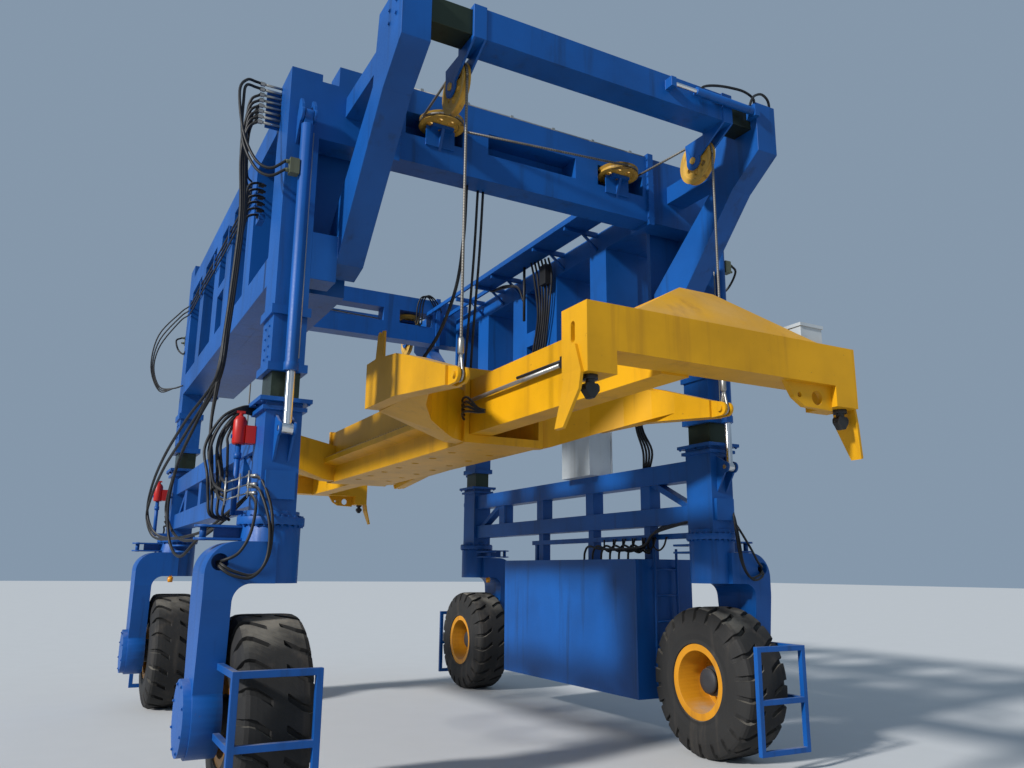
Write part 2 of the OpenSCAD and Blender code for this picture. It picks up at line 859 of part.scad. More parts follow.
// One yoke of the lifting frame: on each side a wing that reaches out to the rope's lug,
// a web with a hollowed front edge between the wing and the body, and a notched mast plate
module frame_yoke() {
    a0 = rope_x - 75;
    a1 = rope_x + 75;
    back = yoke_back();
    tip = rope_y - 120;
    inner = body_half + seat;
    wing_top = body_top - 20;
    for (side = [-1, 1])
        mirror([side < 0 ? 1 : 0, 0, 0]) {
            along_x(a0, a1)
                polygon([
                    [back, lug_z + 65], [back + 820, lug_z + 50], [back + 1150, lug_z + 15],
                    [tip, lug_z - 65], [tip, lug_z + 95], [back + 1150, wing_top - 160],
                    [back + 820, wing_top - 65], [back + 300, wing_top], [back, wing_top]
                ]);
            intersection() {
                translate([0, 0, body_low])
                    linear_extrude(body_top - body_low)
                        polygon([
                            [inner, back], [a0 + eps, back], [a0 + eps, back + 1450],
                            [a0 - 50, back + 1150], [a0 - 160, back + 820],
                            [a0 - 360, back + 480], [a0 - 620, back + 290],
                            [inner + collar_out, body_y - collar_w - seat],
                            [inner, body_y - collar_w - seat]
                        ]);
                along_y(back - 1, tip)
                    polygon([
                        [inner, body_low + 15], [inner + 150, body_low + 30],
                        [a0 + 1, lug_z + 55], [a0 + 1, wing_top - 20], [inner, body_top - 220]
                    ]);
                along_x(0, a1)
                    polygon([
                        [back - 1, body_low], [back + 700, body_low], [back + 1150, lug_z + 20],
                        [back + 1460, lug_z - 10], [back + 1460, wing_top - 270],
                        [back + 1150, wing_top - 180], [back + 820, wing_top - 80],
                        [back + 300, wing_top], [back - 1, wing_top]
                    ]);
            }
            along_x(rope_x - 10, rope_x + 10)
                polygon([
                    [back + 10, wing_top - 30], [back + 300, wing_top - 30],
                    [back + 300, wing_top + 290], [back + 235, wing_top + 300],
                    [back + 195, wing_top + 220], [back + 155, wing_top + 310],
                    [back + 115, wing_top + 290], [back + 70, wing_top + 60]
                ]);
            for (s2 = [-1, 1])
                along_x(rope_x + s2*36 - 14, rope_x + s2*36 + 14) {
                    polygon([
                        [tip - 1, lug_z - 65], [rope_y, lug_z - 65],
                        [rope_y, lug_z + 65], [tip - 1, lug_z + 94]
                    ]);
                    translate([rope_y, lug_z])
                        circle(r = 65, $fn = 48);
                }
            rod_x(lug_pin_d, rope_x - 70, rope_x + 70, rope_y, lug_z);
        }
}

function yoke_back() = 2150;

module frame_yokes() {
    color(frame_yellow)
        shifted() both_ends() frame_yoke();
}

// Telescopic beam, on one side of the body so that the two pass each other, with its end
// beam, hood, corner boxes, gusset and corner guides
module telescope(beam_side) {
    y0 = end_y - end_t;
    in_y = body_y - tele_in;
    difference() {
        union() {
            on_side(beam_side) {
                block(beam_half - beam_w, beam_half, in_y, y0 + eps, tele_low, tele_top);
                block(beam_half - beam_w + 60, beam_half - 60, in_y, in_y + 120,
                      tele_top - eps, body_top - body_wall - slide_gap);
            }
            block(-end_half, end_half, y0, end_y, end_low, end_top);
            for (side = [-1, 1])
                mirror([side < 0 ? 1 : 0, 0, 0]) {
                    block(end_half - corner_w, end_half, y0, end_y, corner_low, end_top);
                    corner_guide();
                    if (side > 0)
                        gusset();
                }
            intersection() {
                along_y(y0 - 500, end_y)
                    polygon([
                        [-820, end_top - eps],
                        [-160, hood_top],
                        [160, hood_top],
                        [820, end_top - eps]
                    ]);
                along_x(-900, 900)
                    polygon([
                        [y0 - 500, tele_top - 100],
                        [y0 - 500, tele_top],
                        [y0 - 60, hood_top],
                        [end_y, end_top],
                        [end_y, end_top - 40],
                        [y0 - 60, end_top - 40]
                    ]);
            }
        }
        on_side(beam_side)
            block(beam_half - beam_w + tele_wall, beam_half - tele_wall, in_y - 1, y0 - 60,
                  tele_low + tele_wall, tele_top - tele_wall);
        for (side = [-1, 1])
            mirror([side < 0 ? 1 : 0, 0, 0]) {
                translate([lock_x, end_y - lock_back, corner_low - 1])
                    cylinder(d = lock_d, h = end_top - corner_low + 2 - 120, $fn = 48);
                side_slot();
            }
    }
}

// Round-ended slot in the end beam's side
module side_slot() {
    y = end_y - end_t/2 - 15;
    r = 24;
    z0 = end_low + 85;
    z1 = end_top - 125;
    block(end_half - 60, end_half + 1, y - r, y + r, z0, z1);
    for (z = [z0, z1])
        rod_x(2*r, end_half - 60, end_half + 1, y, z);
}

// Bent guide plate that leads the frame onto a corner
module corner_guide() {
    yc = end_y - end_t + 160;
    intersection() {
        along_x(end_half - 1, end_half + 150)
            polygon([
                [yc - 30, end_low + 40], [yc - 100, corner_low], [yc - 100, corner_low - 110],
                [yc - 45, corner_low - 370], [yc + 45, corner_low - 370],
                [yc + 100, corner_low - 110], [yc + 100, corner_low], [yc + 30, end_low + 40]
            ]);
        along_y(yc - 100, yc + 100)
            polygon([
                [end_half - eps, end_low + 40],
                [end_half - eps, corner_low + 20],
                [end_half + 20, corner_low - 110],
                [end_half + 105, corner_low - 360],
                [end_half + 125, corner_low - 352],
                [end_half + 42, corner_low - 110],
                [end_half + 22, corner_low + 20],
                [end_half + 22, end_low + 40]
            ]);
    }
}

// Thick gusset plate with its holes beside the corner box
module gusset() {
    y = end_y - 95;
    difference() {
        along_y(y, y + 45)
            polygon([
                [end_half - corner_w + eps, corner_low - 30],
                [end_half - corner_w - 280, corner_low - 20],
                [end_half - corner_w - 380, corner_low + 40],
                [end_half - corner_w - 455, end_low + eps],
                [end_half - corner_w + eps, end_low + eps]
            ]);
        rod_y(110, y - 1, y + 46, end_half - corner_w - 150, corner_low + 55);
        rod_y(40, y - 1, y + 46, end_half - corner_w - 330, corner_low + 60);
    }
}

module telescope_front() color(frame_yellow) shifted() mirror([0, 1, 0]) telescope(-1);
module telescope_rear() color(frame_yellow) shifted() telescope(1);

// A pair of twistlocks: shank, collar and wedge-shaped head
module twistlock_pair() {
    z = corner_low - 56;
    for (side = [-1, 1])
        translate([side*lock_x, end_y - lock_back, 0]) {
            translate([0, 0, z - 10])
                cylinder(d = lock_d - 2*pin_fit, h = 270, $fn = 48);
            translate([0, 0, corner_low - 30])
                cylinder(d = lock_d + 40, h = 30 - seat, $fn = 48);
            along_y(-lock_d/2 - 1, lock_d/2 + 1)
                polygon([
                    [-14, z - 94], [14, z - 94], [52, z - 44], [52, z - 18], [38, z],
                    [-38, z], [-52, z - 18], [-52, z - 44]
                ]);
        }
}

module twistlocks_front() color(rubber) shifted() mirror([0, 1, 0]) twistlock_pair();
module twistlocks_rear() color(rubber) shifted() twistlock_pair();

// Lower side frame at plus X: two chords, posts and diagonals between the columns
module side_rail() {
    x0 = leg_x - rail_t/2;
    x1 = leg_x + rail_t/2;
    y1 = leg_y - col_y/2;
    z0 = rail_low_low;
    z1 = rail_low_low + rail_low_h;
    z2 = rail_top_low;
    block(x0, x1, -y1, y1, z0, z1);
    block(x0, x1, -y1, y1, z2, z2 + rail_top_h);
    for (y = [-1850, -650, 650, 1850])
        block(x0 + 20, x1 - 20, y - rail_post/2, y + rail_post/2, z1 - eps, z2 + eps);
    for (sy = [-1, 1])
        mirror([0, sy < 0 ? 1 : 0, 0])
            along_x(x0 + 40, x1 - 40)
                polygon([
                    [y1 - 40, z1 - eps],
                    [y1 - 190, z1 - eps],
                    [1850 + rail_post/2 - 20, z2 + eps],
                    [1850 + rail_post/2 + 150, z2 + eps]
                ]);
}

module side_rails() {
    color(paint)
        for (sx = [-1, 1])
            mirror([sx < 0 ? 1 : 0, 0, 0])
                side_rail();
}

// Housing of the power unit, hung from the right side frame, with two door openings
module unit_housing() {
    x1 = unit_x0 + unit_w;
    color(paint) {
        difference() {
            block(unit_x0, x1, -unit_y0, unit_y1, unit_low, unit_top);
            block(unit_x0 + unit_wall, x1 - unit_wall, -unit_y0 + unit_wall,
                  unit_y1 - unit_wall, unit_low + unit_wall, unit_top - unit_wall);
            for (d = [0, 1])
                block(x1 - unit_wall - 1, x1 + 1, door_y(d), door_y(d) + door_l(),
                      unit_low + 120, unit_top - 120);
        }
        for (y = [-1850, -650, 650])
            block(leg_x - 60, leg_x + 60, y - 60, y + 60, unit_top - eps, rail_low_low - seat);
        for (z = hinge_levels())
            for (d = [0, 1])
                hinge_frame(d)
                    translate([0, 0, z]) {
                        block(-20, -2, -hinge_in() - 40, -hinge_in() - 2, 61, 75);
                        block(-9, 9, -hinge_in() - 40, 0, 61, 75);
                        translate([0, 0, 61])
                            cylinder(r = 9, h = 14, $fn = 24);
                        translate([0, 0, -50])
                            cylinder(d = 12, h = 112, $fn = 24);
                    }
    }
}

function hinge_levels() = [unit_low + 400, unit_top - 400];
function hinge_in() = 20;
function hinge_out() = 18;

// Places a hinge's parts at door d's hinge axis, with Y running into the door
module hinge_frame(d) {
    y = d == 0 ? door_y(0) + hinge_in() : door_y(1) + door_l() - hinge_in();
    translate([unit_x0 + unit_w + hinge_out(), y, 0])
        mirror([0, d, 0])
            children();
}

function door_l() = (unit_l - 300)/2;
function door_y(d) = -unit_y0 + 100 + d*(door_l() + 100);

// One door of the power unit, flush in its opening, with its hinge barrels
module unit_door(d) {
    x1 = unit_x0 + unit_w;
    color(paint) {
        block(x1 - door_t, x1, door_y(d) + door_gap, door_y(d) + door_l() - door_gap,
              unit_low + 120 + door_gap, unit_top - 120 - door_gap);
        hinge_frame(d)
            for (z = hinge_levels())
                translate([0, 0, z])
                    difference() {
                        union() {
                            translate([0, 0, -60])
                                cylinder(r = 12, h = 120, $fn = 24);
                            block(-hinge_out() - eps, 0, 0, 60, -60, 60);
                        }
                        translate([0, 0, -61])
                            cylinder(d = 12 + 2*pin_fit, h = 122, $fn = 24);
                    }
    }
}

module unit_door_front() unit_door(0);
module unit_door_rear() unit_door(1);

module engine_block() {
    color(rubber)
        block(unit_x0 + 110, unit_x0 + unit_w - 160, -1100, 500,
              unit_low + unit_wall, unit_low + 1050);
}

// Control cabinet on the right side frame
module control_cabinet() {
    x0 = leg_x - cab_in;
    z0 = rail_top_low + rail_top_h;
    color("gainsboro")
        difference() {
            block(x0, x0 + cab_w, -cab_y0, -cab_y0 + cab_l, z0, z0 + cab_h);
            block(x0 + cab_wall, x0 + cab_w + 1, -cab_y0 + cab_wall, -cab_y0 + cab_l - cab_wall,
                  z0 + cab_wall, z0 + cab_h - cab_wall);
        }
}

module cabinet_door() {
    x1 = leg_x - cab_in + cab_w;
    z0 = rail_top_low + rail_top_h;
    color("gainsboro") {
        block(x1 + seat, x1 + seat + cab_wall, -cab_y0, -cab_y0 + cab_l,
              z0 + door_gap, z0 + cab_h);
        translate([x1 + seat + cab_wall/2, -cab_y0, z0 + door_gap])
            cylinder(d = cab_wall, h = cab_h - door_gap, $fn = 24);
    }
}

// Fork of one wheel: round head, bent beam and arm, hub drum, spindle and cover
module fork() {
    a0 = arm_in;
    a1 = arm_out;
    translate([leg_x, leg_y, 0])
        difference() {
            union() {
                translate([0, 0, fork_low])
                    cylinder(d = head_d, h = fork_top - fork_low, $fn = 96);
                translate([0, 0, fork_top - eps])
                    cylinder(r = ring_r - 30, h = ring_z - fork_top - turn_gap + eps, $fn = 96);
                translate([0, 0, fork_top])
                    cylinder(d = pivot_d, h = ring_z + pivot_l() - fork_top, $fn = 64);
                intersection() {
                    along_y(-arm_top_w/2, arm_top_w/2)
                        difference() {
                            union() {
                                translate([0, fork_low])
                                    square([a1 - fork_round, beam_h]);
                                translate([a1 - fork_round, fork_top - fork_round])
                                    circle(r = fork_round, $fn = 96);
                                translate([a0, axle_z])
                                    square([a1 - a0, fork_top - fork_round - axle_z]);
                                translate([a0 - 140, fork_low - 140])
                                    square([141, 141]);
                            }
                            translate([a0 - 140, fork_low - 140])
                                circle(r = 140, $fn = 64);
                            translate([-1, axle_z - 1])
                                square([a0 - 140, fork_low - axle_z + 1]);
                            translate([a0 - 141, axle_z - 1])
                                square([141, fork_low - 140 - axle_z + 1]);
                        }
                    along_x(-1, a1 + 1)
                        polygon([
                            [-arm_top_w/2, fork_top + 1],
                            [-arm_top_w/2, fork_low - 120],
                            [-arm_low_w/2, axle_z],
                            [arm_low_w/2, axle_z],
                            [arm_top_w/2, fork_low - 120],
                            [arm_top_w/2, fork_top + 1]
                        ]);
                }
                rod_x(drum_d, a0, a1, 0, axle_z);
                rod_x(drum_d - 40, a1 - eps, a1 + cover_t, 0, axle_z);
                rod_x(spindle_d, -120, a0 + eps, 0, axle_z);
                steer_lever();
            }
            rod_y(130, arm_top_w/2 - 160, arm_top_w, (a0 + a1)/2, fork_top - 160);
        }
}

// Lever plates on the fork's top that the steering linkage takes hold of
module steer_lever() {
    for (z = [fork_top - eps, fork_top + 80])
        translate([0, 0, z])
            difference() {
                linear_extrude(20)
                    union() {
                        translate([-110, -lever_reach])
                            square([220, lever_reach - head_d/2 + 60]);
                        translate([0, -lever_reach])
                            circle(r = 110, $fn = 48);
                    }
                translate([0, -lever_reach, -1])
                    cylinder(d = 50, h = 30, $fn = 32);
            }
}

module fork_front_left() color(paint) at_corner(-1, -1) fork();
module fork_front_right() color(paint) at_corner(1, -1) fork();
module fork_rear_left() color(paint) at_corner(-1, 1) fork();
module fork_rear_right() color(paint) at_corner(1, 1) fork();

// Tubular guard frame in front of a wheel, held by two struts from the fork's arm
module guard() {
    t = guard_tube;
    y0 = guard_y;
    x1 = arm_in + t + 10;
    x0 = x1 - guard_w;
    z2 = (guard_low + guard_high)/2 - 40;
    translate([leg_x, leg_y, 0]) {
        for (z = [guard_low, z2, guard_high - t])
            block(x0, x1, y0, y0 + t, z, z + t);
        for (x = [x0, x1 - t])
            block(x, x + t, y0, y0 + t, guard_low, guard_high);
        block(x1 - t, x1, drum_half(z2 + t) + seat, y0 + eps, z2, z2 + t);
        block(x1 - t, x1, arm_half(guard_high) + seat, y0 + eps, guard_high - t, guard_high);
    }
}

function drum_half(z) = sqrt(pow(drum_d/2, 2) - pow(z - axle_z, 2));
function arm_half(z) = arm_low_w/2
    + (arm_top_w - arm_low_w)/2*(z - axle_z)/(fork_low - 120 - axle_z);

module guard_front_left() color(paint) at_corner(-1, -1) guard();
module guard_front_right() color(paint) at_corner(1, -1) guard();
module guard_rear_left() color(paint) at_corner(-1, 1) guard();
module guard_rear_right() color(paint) at_corner(1, 1) guard();

// Rim, turned about X: flanges, stepped well, dished disc and hub
module rim() {
    r = bead_r;
    w = tyre_w/2 - 15;
    f = rim_flange;
    translate([leg_x, leg_y, axle_z])
        rotate([0, 90, 0])
            difference() {
                union() {
                    rotate_extrude($fn = 72)
                        polygon([
                            [r - rim_t, -w], [r + f, -w], [r + f, -w + flange_w],
                            [r + 2, -w + flange_w], [r - 6, -w + 30], [r - 6, w - 30],
                            [r + 2, w - flange_w], [r + f, w - flange_w],
                            [r + f, w], [r - rim_t, w]
                        ]);
                    rotate_extrude($fn = 72)
                        polygon([
                            [spindle_d/2 + pin_fit, -100], [hub_d/2 - 20, -100],
                            [hub_d/2, -80], [hub_d/2, 60], [r - rim_t - 60, 100],
                            [r - rim_t + 1, 100], [r - rim_t + 1, 100 + rim_t],
                            [r - rim_t - 70, 100 + rim_t], [hub_d/2, 110],
                            [hub_d/2, arm_in - 8], [spindle_d/2 + pin_fit, arm_in - 8]
                        ]);
                }
            }
}

module rim_front_left() color("darkorange") at_corner(-1, -1) rim();
module rim_front_right() color("darkorange") at_corner(1, -1) rim();
module rim_rear_left() color("darkorange") at_corner(-1, 1) rim();
module rim_rear_right() color("darkorange") at_corner(1, 1) rim();

// Tyre, turned about X: beads, bulged walls, rounded shoulders and a flat tread
module tyre() {
    r = tyre_d/2;
    h = tyre_w/2;
    w = tyre_w/2 - 15;
    side = w - flange_w - seat;
    b = bead_r;
    translate([leg_x, leg_y, axle_z])
        rotate([0, 90, 0])
            rotate_extrude($fn = 48)
                polygon([
                    [b + 8, -side], [b + rim_flange + facet_gap, -side],
                    [b + rim_flange + 3, -w + 2], [r - 190, -h], [r - 90, -h + 10],
                    [r - 14, -h + 45], [r, -h + 75], [r, h - 75], [r - 14, h - 45],
                    [r - 90, h - 10], [r - 190, h], [b + rim_flange + 3, w - 2],
                    [b + rim_flange + facet_gap, side], [b + 8, side]
                ]);
}

module tyre_front_left() color(rubber) at_corner(-1, -1) tyre();
module tyre_front_right() color(rubber) at_corner(1, -1) tyre();
module tyre_rear_left() color(rubber) at_corner(-1, 1) tyre();
module tyre_rear_right() color(rubber) at_corner(1, 1) tyre();

lower_columns();
inner_columns();
side_rails();
lift_rods();
unit_housing();
engine_block();
control_cabinet();
unit_door_front();
unit_door_rear();
cabinet_door();
upper_posts();
side_ladder_left();
side_ladder_right();
cross_beams();
cranked_arms();
shift_tubes();
lift_barrels();
deflection_sheaves();
shift_barrels();
shift_sleeves();
hoist_sheaves();
shift_rods();
hoist_ropes();
frame_body();
frame_yokes();
telescope_front();
telescope_rear();
twistlocks_front();
twistlocks_rear();
fork_front_left();
fork_front_right();
fork_rear_left();
fork_rear_right();
guard_front_left();
guard_front_right();
guard_rear_left();
guard_rear_right();
rim_front_left();
rim_front_right();
rim_rear_left();
rim_rear_right();
tyre_front_left();
tyre_front_right();
tyre_rear_left();
tyre_rear_right();
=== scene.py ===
# %% [markdown]
# # Straddle carrier: the looks
# The packed CAD model is the fixed frame, in metres, with +Z up. This lesson dresses it: paint,
# rubber, grease and chrome by shader nodes, then tyre tread, bolts, ropes, pipes and hoses as
# separate pieces. Each new piece rides on a body of the machine, or, where it reaches between two,
# is baked in place and rides on neither.

import math

import bpy
import numpy as np
from mathutils import Matrix, Vector


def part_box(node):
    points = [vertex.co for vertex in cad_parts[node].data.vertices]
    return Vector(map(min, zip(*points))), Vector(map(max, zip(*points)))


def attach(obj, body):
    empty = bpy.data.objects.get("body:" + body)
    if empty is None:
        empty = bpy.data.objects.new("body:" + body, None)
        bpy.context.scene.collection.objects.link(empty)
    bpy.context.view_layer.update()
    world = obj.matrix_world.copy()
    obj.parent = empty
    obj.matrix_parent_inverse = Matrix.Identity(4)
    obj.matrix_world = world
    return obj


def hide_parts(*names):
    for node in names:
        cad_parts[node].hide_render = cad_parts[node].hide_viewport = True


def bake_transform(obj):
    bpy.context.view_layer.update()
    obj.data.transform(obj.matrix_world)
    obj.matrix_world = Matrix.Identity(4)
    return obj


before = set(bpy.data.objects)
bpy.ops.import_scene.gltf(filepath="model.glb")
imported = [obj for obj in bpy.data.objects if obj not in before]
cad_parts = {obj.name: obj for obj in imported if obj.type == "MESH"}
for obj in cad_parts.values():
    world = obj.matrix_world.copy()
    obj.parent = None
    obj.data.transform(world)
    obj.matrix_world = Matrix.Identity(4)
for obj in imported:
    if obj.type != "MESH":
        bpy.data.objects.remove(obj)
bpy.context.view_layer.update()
scene = bpy.context.scene

# %% [markdown]
# ## Sizes read from the frame
# What is added has to sit on the CAD, so its place comes from the boxes of the CAD nodes. Numbers
# could be copied from the source instead, but they would stay behind when a size changes.

# %% Corners and sizes
CORNERS = {
    "front_left": (-1, -1),
    "front_right": (1, -1),
    "rear_left": (-1, 1),
    "rear_right": (1, 1),
}


def middle(node):
    low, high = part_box(node)
    return (low + high) / 2


def reach(node):
    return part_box(node)[1]


leg_x, leg_y, axle_z = middle("tyre_rear_right")
tyre_r = reach("tyre_rear_right").z - axle_z
tyre_half = reach("tyre_rear_right").x - leg_x
fork_out = reach("fork_rear_right").x
column_top = reach("lower_columns").z
post_side = reach("side_ladder_right").x
print("leg axis at", round(leg_x, 3), round(leg_y, 3), "tyre radius", round(tyre_r, 3))

# %% [markdown]
# A few places lie inside a node's box. They are set off from its edge by a size of their own, or are
# the source's own numbers where no edge of a box is near.

# %% Places inside the nodes
RING_TOP = 2.26
JOINT_X = 1.5
SHEAVE_OUT, TUBE_HALF = 0.25, 0.1175
beam_face = reach("deflection_sheaves").y - SHEAVE_OUT
shift_y = reach("shift_tubes").y - TUBE_HALF
print("cross beam face at", round(beam_face, 3), "shift tube at", round(shift_y, 3))

# %% [markdown]
# ## A small mesh builder
# The trim is made of boxes, turned profiles and swept tubes. Blender has operators for each, but
# plain lists of points and faces are faster and give the same mesh each run. The first class holds
# these lists and makes one piece from them, of one material and on one body.

# %% Solids


class Solids:
    def __init__(self):
        self.verts = []
        self.faces = []
        self.smooth = []

    def add(self, verts, faces, smooth=False):
        first = len(self.verts)
        self.verts += [tuple(v) for v in verts]
        self.faces += [tuple(first + i for i in face) for face in faces]
        self.smooth += [smooth] * len(faces)
        return self

    def box(self, low, high):
        x, y, z = zip(low, high)
        verts = [(x[i], y[j], z[k]) for i in (0, 1) for j in (0, 1) for k in (0, 1)]
        faces = [(0, 1, 3, 2), (4, 6, 7, 5), (0, 4, 5, 1), (2, 3, 7, 6), (0, 2, 6, 4), (1, 5, 7, 3)]
        return self.add(verts, faces)

    def loft(self, rings, smooth):
        """Joins rings of equally many points, and closes both ends."""
        sides, last = len(rings[0]), len(rings) - 1
        faces = []
        for i in range(last):
            for k in range(sides):
                a, b = i * sides + k, i * sides + (k + 1) % sides
                faces.append((a, b, b + sides, a + sides))
        first = len(self.verts)
        self.add([point for ring in rings for point in ring], faces, smooth)
        self.faces.append(tuple(first + k for k in reversed(range(sides))))
        self.faces.append(tuple(first + last * sides + k for k in range(sides)))
        self.smooth += [False, False]
        return self

    def make(self, name, material, body=None):
        mesh = bpy.data.meshes.new(name)
        mesh.from_pydata(self.verts, [], self.faces)
        mesh.polygons.foreach_set("use_smooth", self.smooth)
        mesh.materials.append(material)
        mesh.update()
        piece = bpy.data.objects.new(name, mesh)
        scene.collection.objects.link(piece)
        if body:
            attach(piece, body)
        print(f"{name}: {len(self.faces)} faces on {body or 'two bodies'}")
        return piece


print("solids can be:", ", ".join(name for name in vars(Solids) if name[0] != "_"))

# %% [markdown]
# Round parts are rings of points. A rod, a bolt and a union are all a short profile of radius and
# height that turns round an axis, and a hose is a circle that runs along a path. The second class
# adds these to the first.

# %% Round parts


def basis(axis):
    """An axis of unit length and two directions square to it."""
    w = Vector(axis).normalized()
    u = w.orthogonal().normalized()
    if abs(w.z) > 0.9:
        u = Vector((1, 0, 0))
    elif abs(w.x) > 0.9:
        u = Vector((0, 1, 0))
    u = (u - w * u.dot(w)).normalized()
    return w, u, w.cross(u)


class Shape(Solids):
    def turned(self, base, axis, profile, sides, smooth=True):
        """Turns (radius, height) pairs round an axis that starts at base."""
        w, u, v = basis(axis)
        turns = [2 * math.pi * k / sides for k in range(sides)]
        rings = []
        for radius, height in profile:
            centre = Vector(base) + w * height
            rings.append([centre + (u * math.cos(a) + v * math.sin(a)) * radius for a in turns])
        return self.loft(rings, smooth)

    def rod(self, start, end, radius, sides=16):
        axis = Vector(end) - Vector(start)
        return self.turned(start, axis, [(radius, 0), (radius, axis.length)], sides)

    def bolt(self, at, axis, size=0.024):
        """A washer and a hexagon head of that size across flats."""
        washer, corner = size * 0.95, size * 0.577
        self.turned(at, axis, [(washer, 0), (washer, size * 0.15)], 14, False)
        head = [(corner, size * 0.1), (corner, size * 0.62), (size * 0.48, size * 0.7)]
        return self.turned(at, axis, head, 6, False)

    def tube(self, points, radius, sides=10):
        """Sweeps a circle along points, turning its frame as little as it can."""
        points = [Vector(p) for p in points]
        turns = [2 * math.pi * k / sides for k in range(sides)]
        tangent = (points[1] - points[0]).normalized()
        _, u, v = basis(tangent)
        rings = []
        for i, p in enumerate(points):
            ahead = points[min(i + 1, len(points) - 1)] - points[max(i - 1, 0)]
            turn = tangent.rotation_difference(ahead.normalized())
            tangent = ahead.normalized()
            u, v = turn @ u, turn @ v
            rings.append([p + (u * math.cos(a) + v * math.sin(a)) * radius for a in turns])
        return self.loft(rings, True)


print("round parts:", ", ".join(name for name in vars(Shape) if name[0] != "_"))

# %% [markdown]
# Hoses need a smooth path through a few chosen points. A cubic through each pair, with slopes from
# their neighbours, passes through every point, which a Bezier curve by hand doesn't.

# %% Smooth paths and mirrored points


def spline(points, steps=8):
    """A smooth path through points, with steps parts between each two."""
    p = [np.array(q, float) for q in points]
    p = [2 * p[0] - p[1]] + p + [2 * p[-1] - p[-2]]
    path = []
    for i in range(1, len(p) - 2):
        for s in range(steps):
            t = s / steps
            a, b, c, d = p[i - 1], p[i], p[i + 1], p[i + 2]
            q = 2 * b + (c - a) * t + (2 * a - 5 * b + 4 * c - d) * t * t
            q = q + (3 * b - a - 3 * c + d) * t**3
            path.append(tuple(q / 2))
    path.append(tuple(p[-2]))
    return path


def mirrored(point, sx, sy):
    return (point[0] * sx, point[1] * sy, point[2])


print("a path of 3 points has", len(spline([(0, 0, 0), (1, 0, 0), (1, 1, 0)])), "steps and ends")

# %% [markdown]
# ## Node trees by short calls
# Node trees can be clicked together in the editor. Here they are built by a small class, which adds
# a node, sets its values and links its inputs in one call.

# %% Node helpers


class Tree:
    """Adds nodes to a node tree and links them with short calls."""

    def __init__(self, tree):
        self.tree = tree

    def node(self, kind, inputs=None, **settings):
        made = self.tree.nodes.new(kind)
        for key, value in settings.items():
            setattr(made, key, value)
        for key, value in (inputs or {}).items():
            socket = made.inputs[key]
            if isinstance(value, bpy.types.NodeSocket):
                self.tree.links.new(value, socket)
            else:
                socket.default_value = value
        return made

    def math(self, operation, a, b=0.0, clamp=False):
        made = self.node("ShaderNodeMath", {0: a, 1: b}, operation=operation, use_clamp=clamp)
        return made.outputs[0]

    def noise(self, vector, scale, detail=4.0, rough=0.55):
        made = self.node(
            "ShaderNodeTexNoise",
            {"Vector": vector, "Scale": scale, "Detail": detail, "Roughness": rough},
        )
        return made.outputs["Fac"]

    def band(self, value, low, high):
        """0 below low, 1 above high, smooth between."""
        made = self.node(
            "ShaderNodeMapRange",
            {"Value": value, "From Min": low, "From Max": high},
            interpolation_type="SMOOTHSTEP",
        )
        return made.outputs["Result"]

    def stretch(self, vector, scale):
        made = self.node("ShaderNodeMapping", {"Vector": vector, "Scale": scale})
        return made.outputs["Vector"]

    def mix(self, factor, a, b):
        made = self.node("ShaderNodeMix", {}, data_type="RGBA")
        for index, value in ((0, factor), (6, a), (7, b)):
            if isinstance(value, bpy.types.NodeSocket):
                self.tree.links.new(value, made.inputs[index])
            else:
                made.inputs[index].default_value = value
        return made.outputs[2]


def new_group(name, inputs, outputs):
    tree = bpy.data.node_groups.new(name, "ShaderNodeTree")
    for label, value in inputs:
        socket = tree.interface.new_socket(label, in_out="INPUT", socket_type="NodeSocketFloat")
        socket.default_value = value
    for label, kind in outputs:
        tree.interface.new_socket(label, in_out="OUTPUT", socket_type=kind)
    t = Tree(tree)
    return t, t.node("NodeGroupInput"), t.node("NodeGroupOutput")


print("node helpers:", ", ".join(name for name in vars(Tree) if name[0] != "_"))

# %% [markdown]
# ## Weather
# A machine in a port gets streaks where rain runs down, dust on what faces up, and chipped paint.
# One group works these masks out from place and normal, and every finish mixes its own colours with
# them, so the wear runs on from piece to piece.

# %% The weather group
VALUE = "NodeSocketFloat"
weather, w_in, w_out = new_group(
    "weather",
    [("Streaks", 0.5), ("Dust", 0.5), ("Chips", 0.5)],
    [("Streaks", VALUE), ("Dust", VALUE), ("Chips", VALUE), ("Uneven", VALUE)],
)
place = weather.node("ShaderNodeTexCoord").outputs["Object"]
normal = weather.node("ShaderNodeNewGeometry").outputs["Normal"]
facing = weather.node("ShaderNodeSeparateXYZ", {0: normal})
uneven = weather.noise(place, 0.9, 5.0)
runs = weather.noise(weather.stretch(place, (7.0, 7.0, 0.45)), 1.0, 5.0, 0.6)
runs = weather.math("MULTIPLY", weather.band(runs, 0.52, 0.74), w_in.outputs["Streaks"], True)
up = weather.band(facing.outputs["Z"], 0.55, 0.95)
dust = weather.math("MULTIPLY", up, weather.band(weather.noise(place, 3.0, 6.0), 0.3, 0.75))
dust = weather.math("MULTIPLY", dust, w_in.outputs["Dust"], True)
spots = weather.band(weather.noise(place, 34.0, 3.0, 0.7), 0.68, 0.72)
areas = weather.band(weather.noise(place, 1.7, 2.0), 0.5, 0.62)
chips = weather.math("MULTIPLY", weather.math("MULTIPLY", spots, areas), w_in.outputs["Chips"], True)
for label, value in (("Streaks", runs), ("Dust", dust), ("Chips", chips), ("Uneven", uneven)):
    weather.tree.links.new(value, w_out.inputs[label])
print("weather:", len(weather.tree.nodes), "nodes")

# %% [markdown]
# ## Grain
# Sprayed paint and rubber aren't quite smooth. A second group gives a fine noise, as a bump for the
# normal and as a value that varies the roughness.

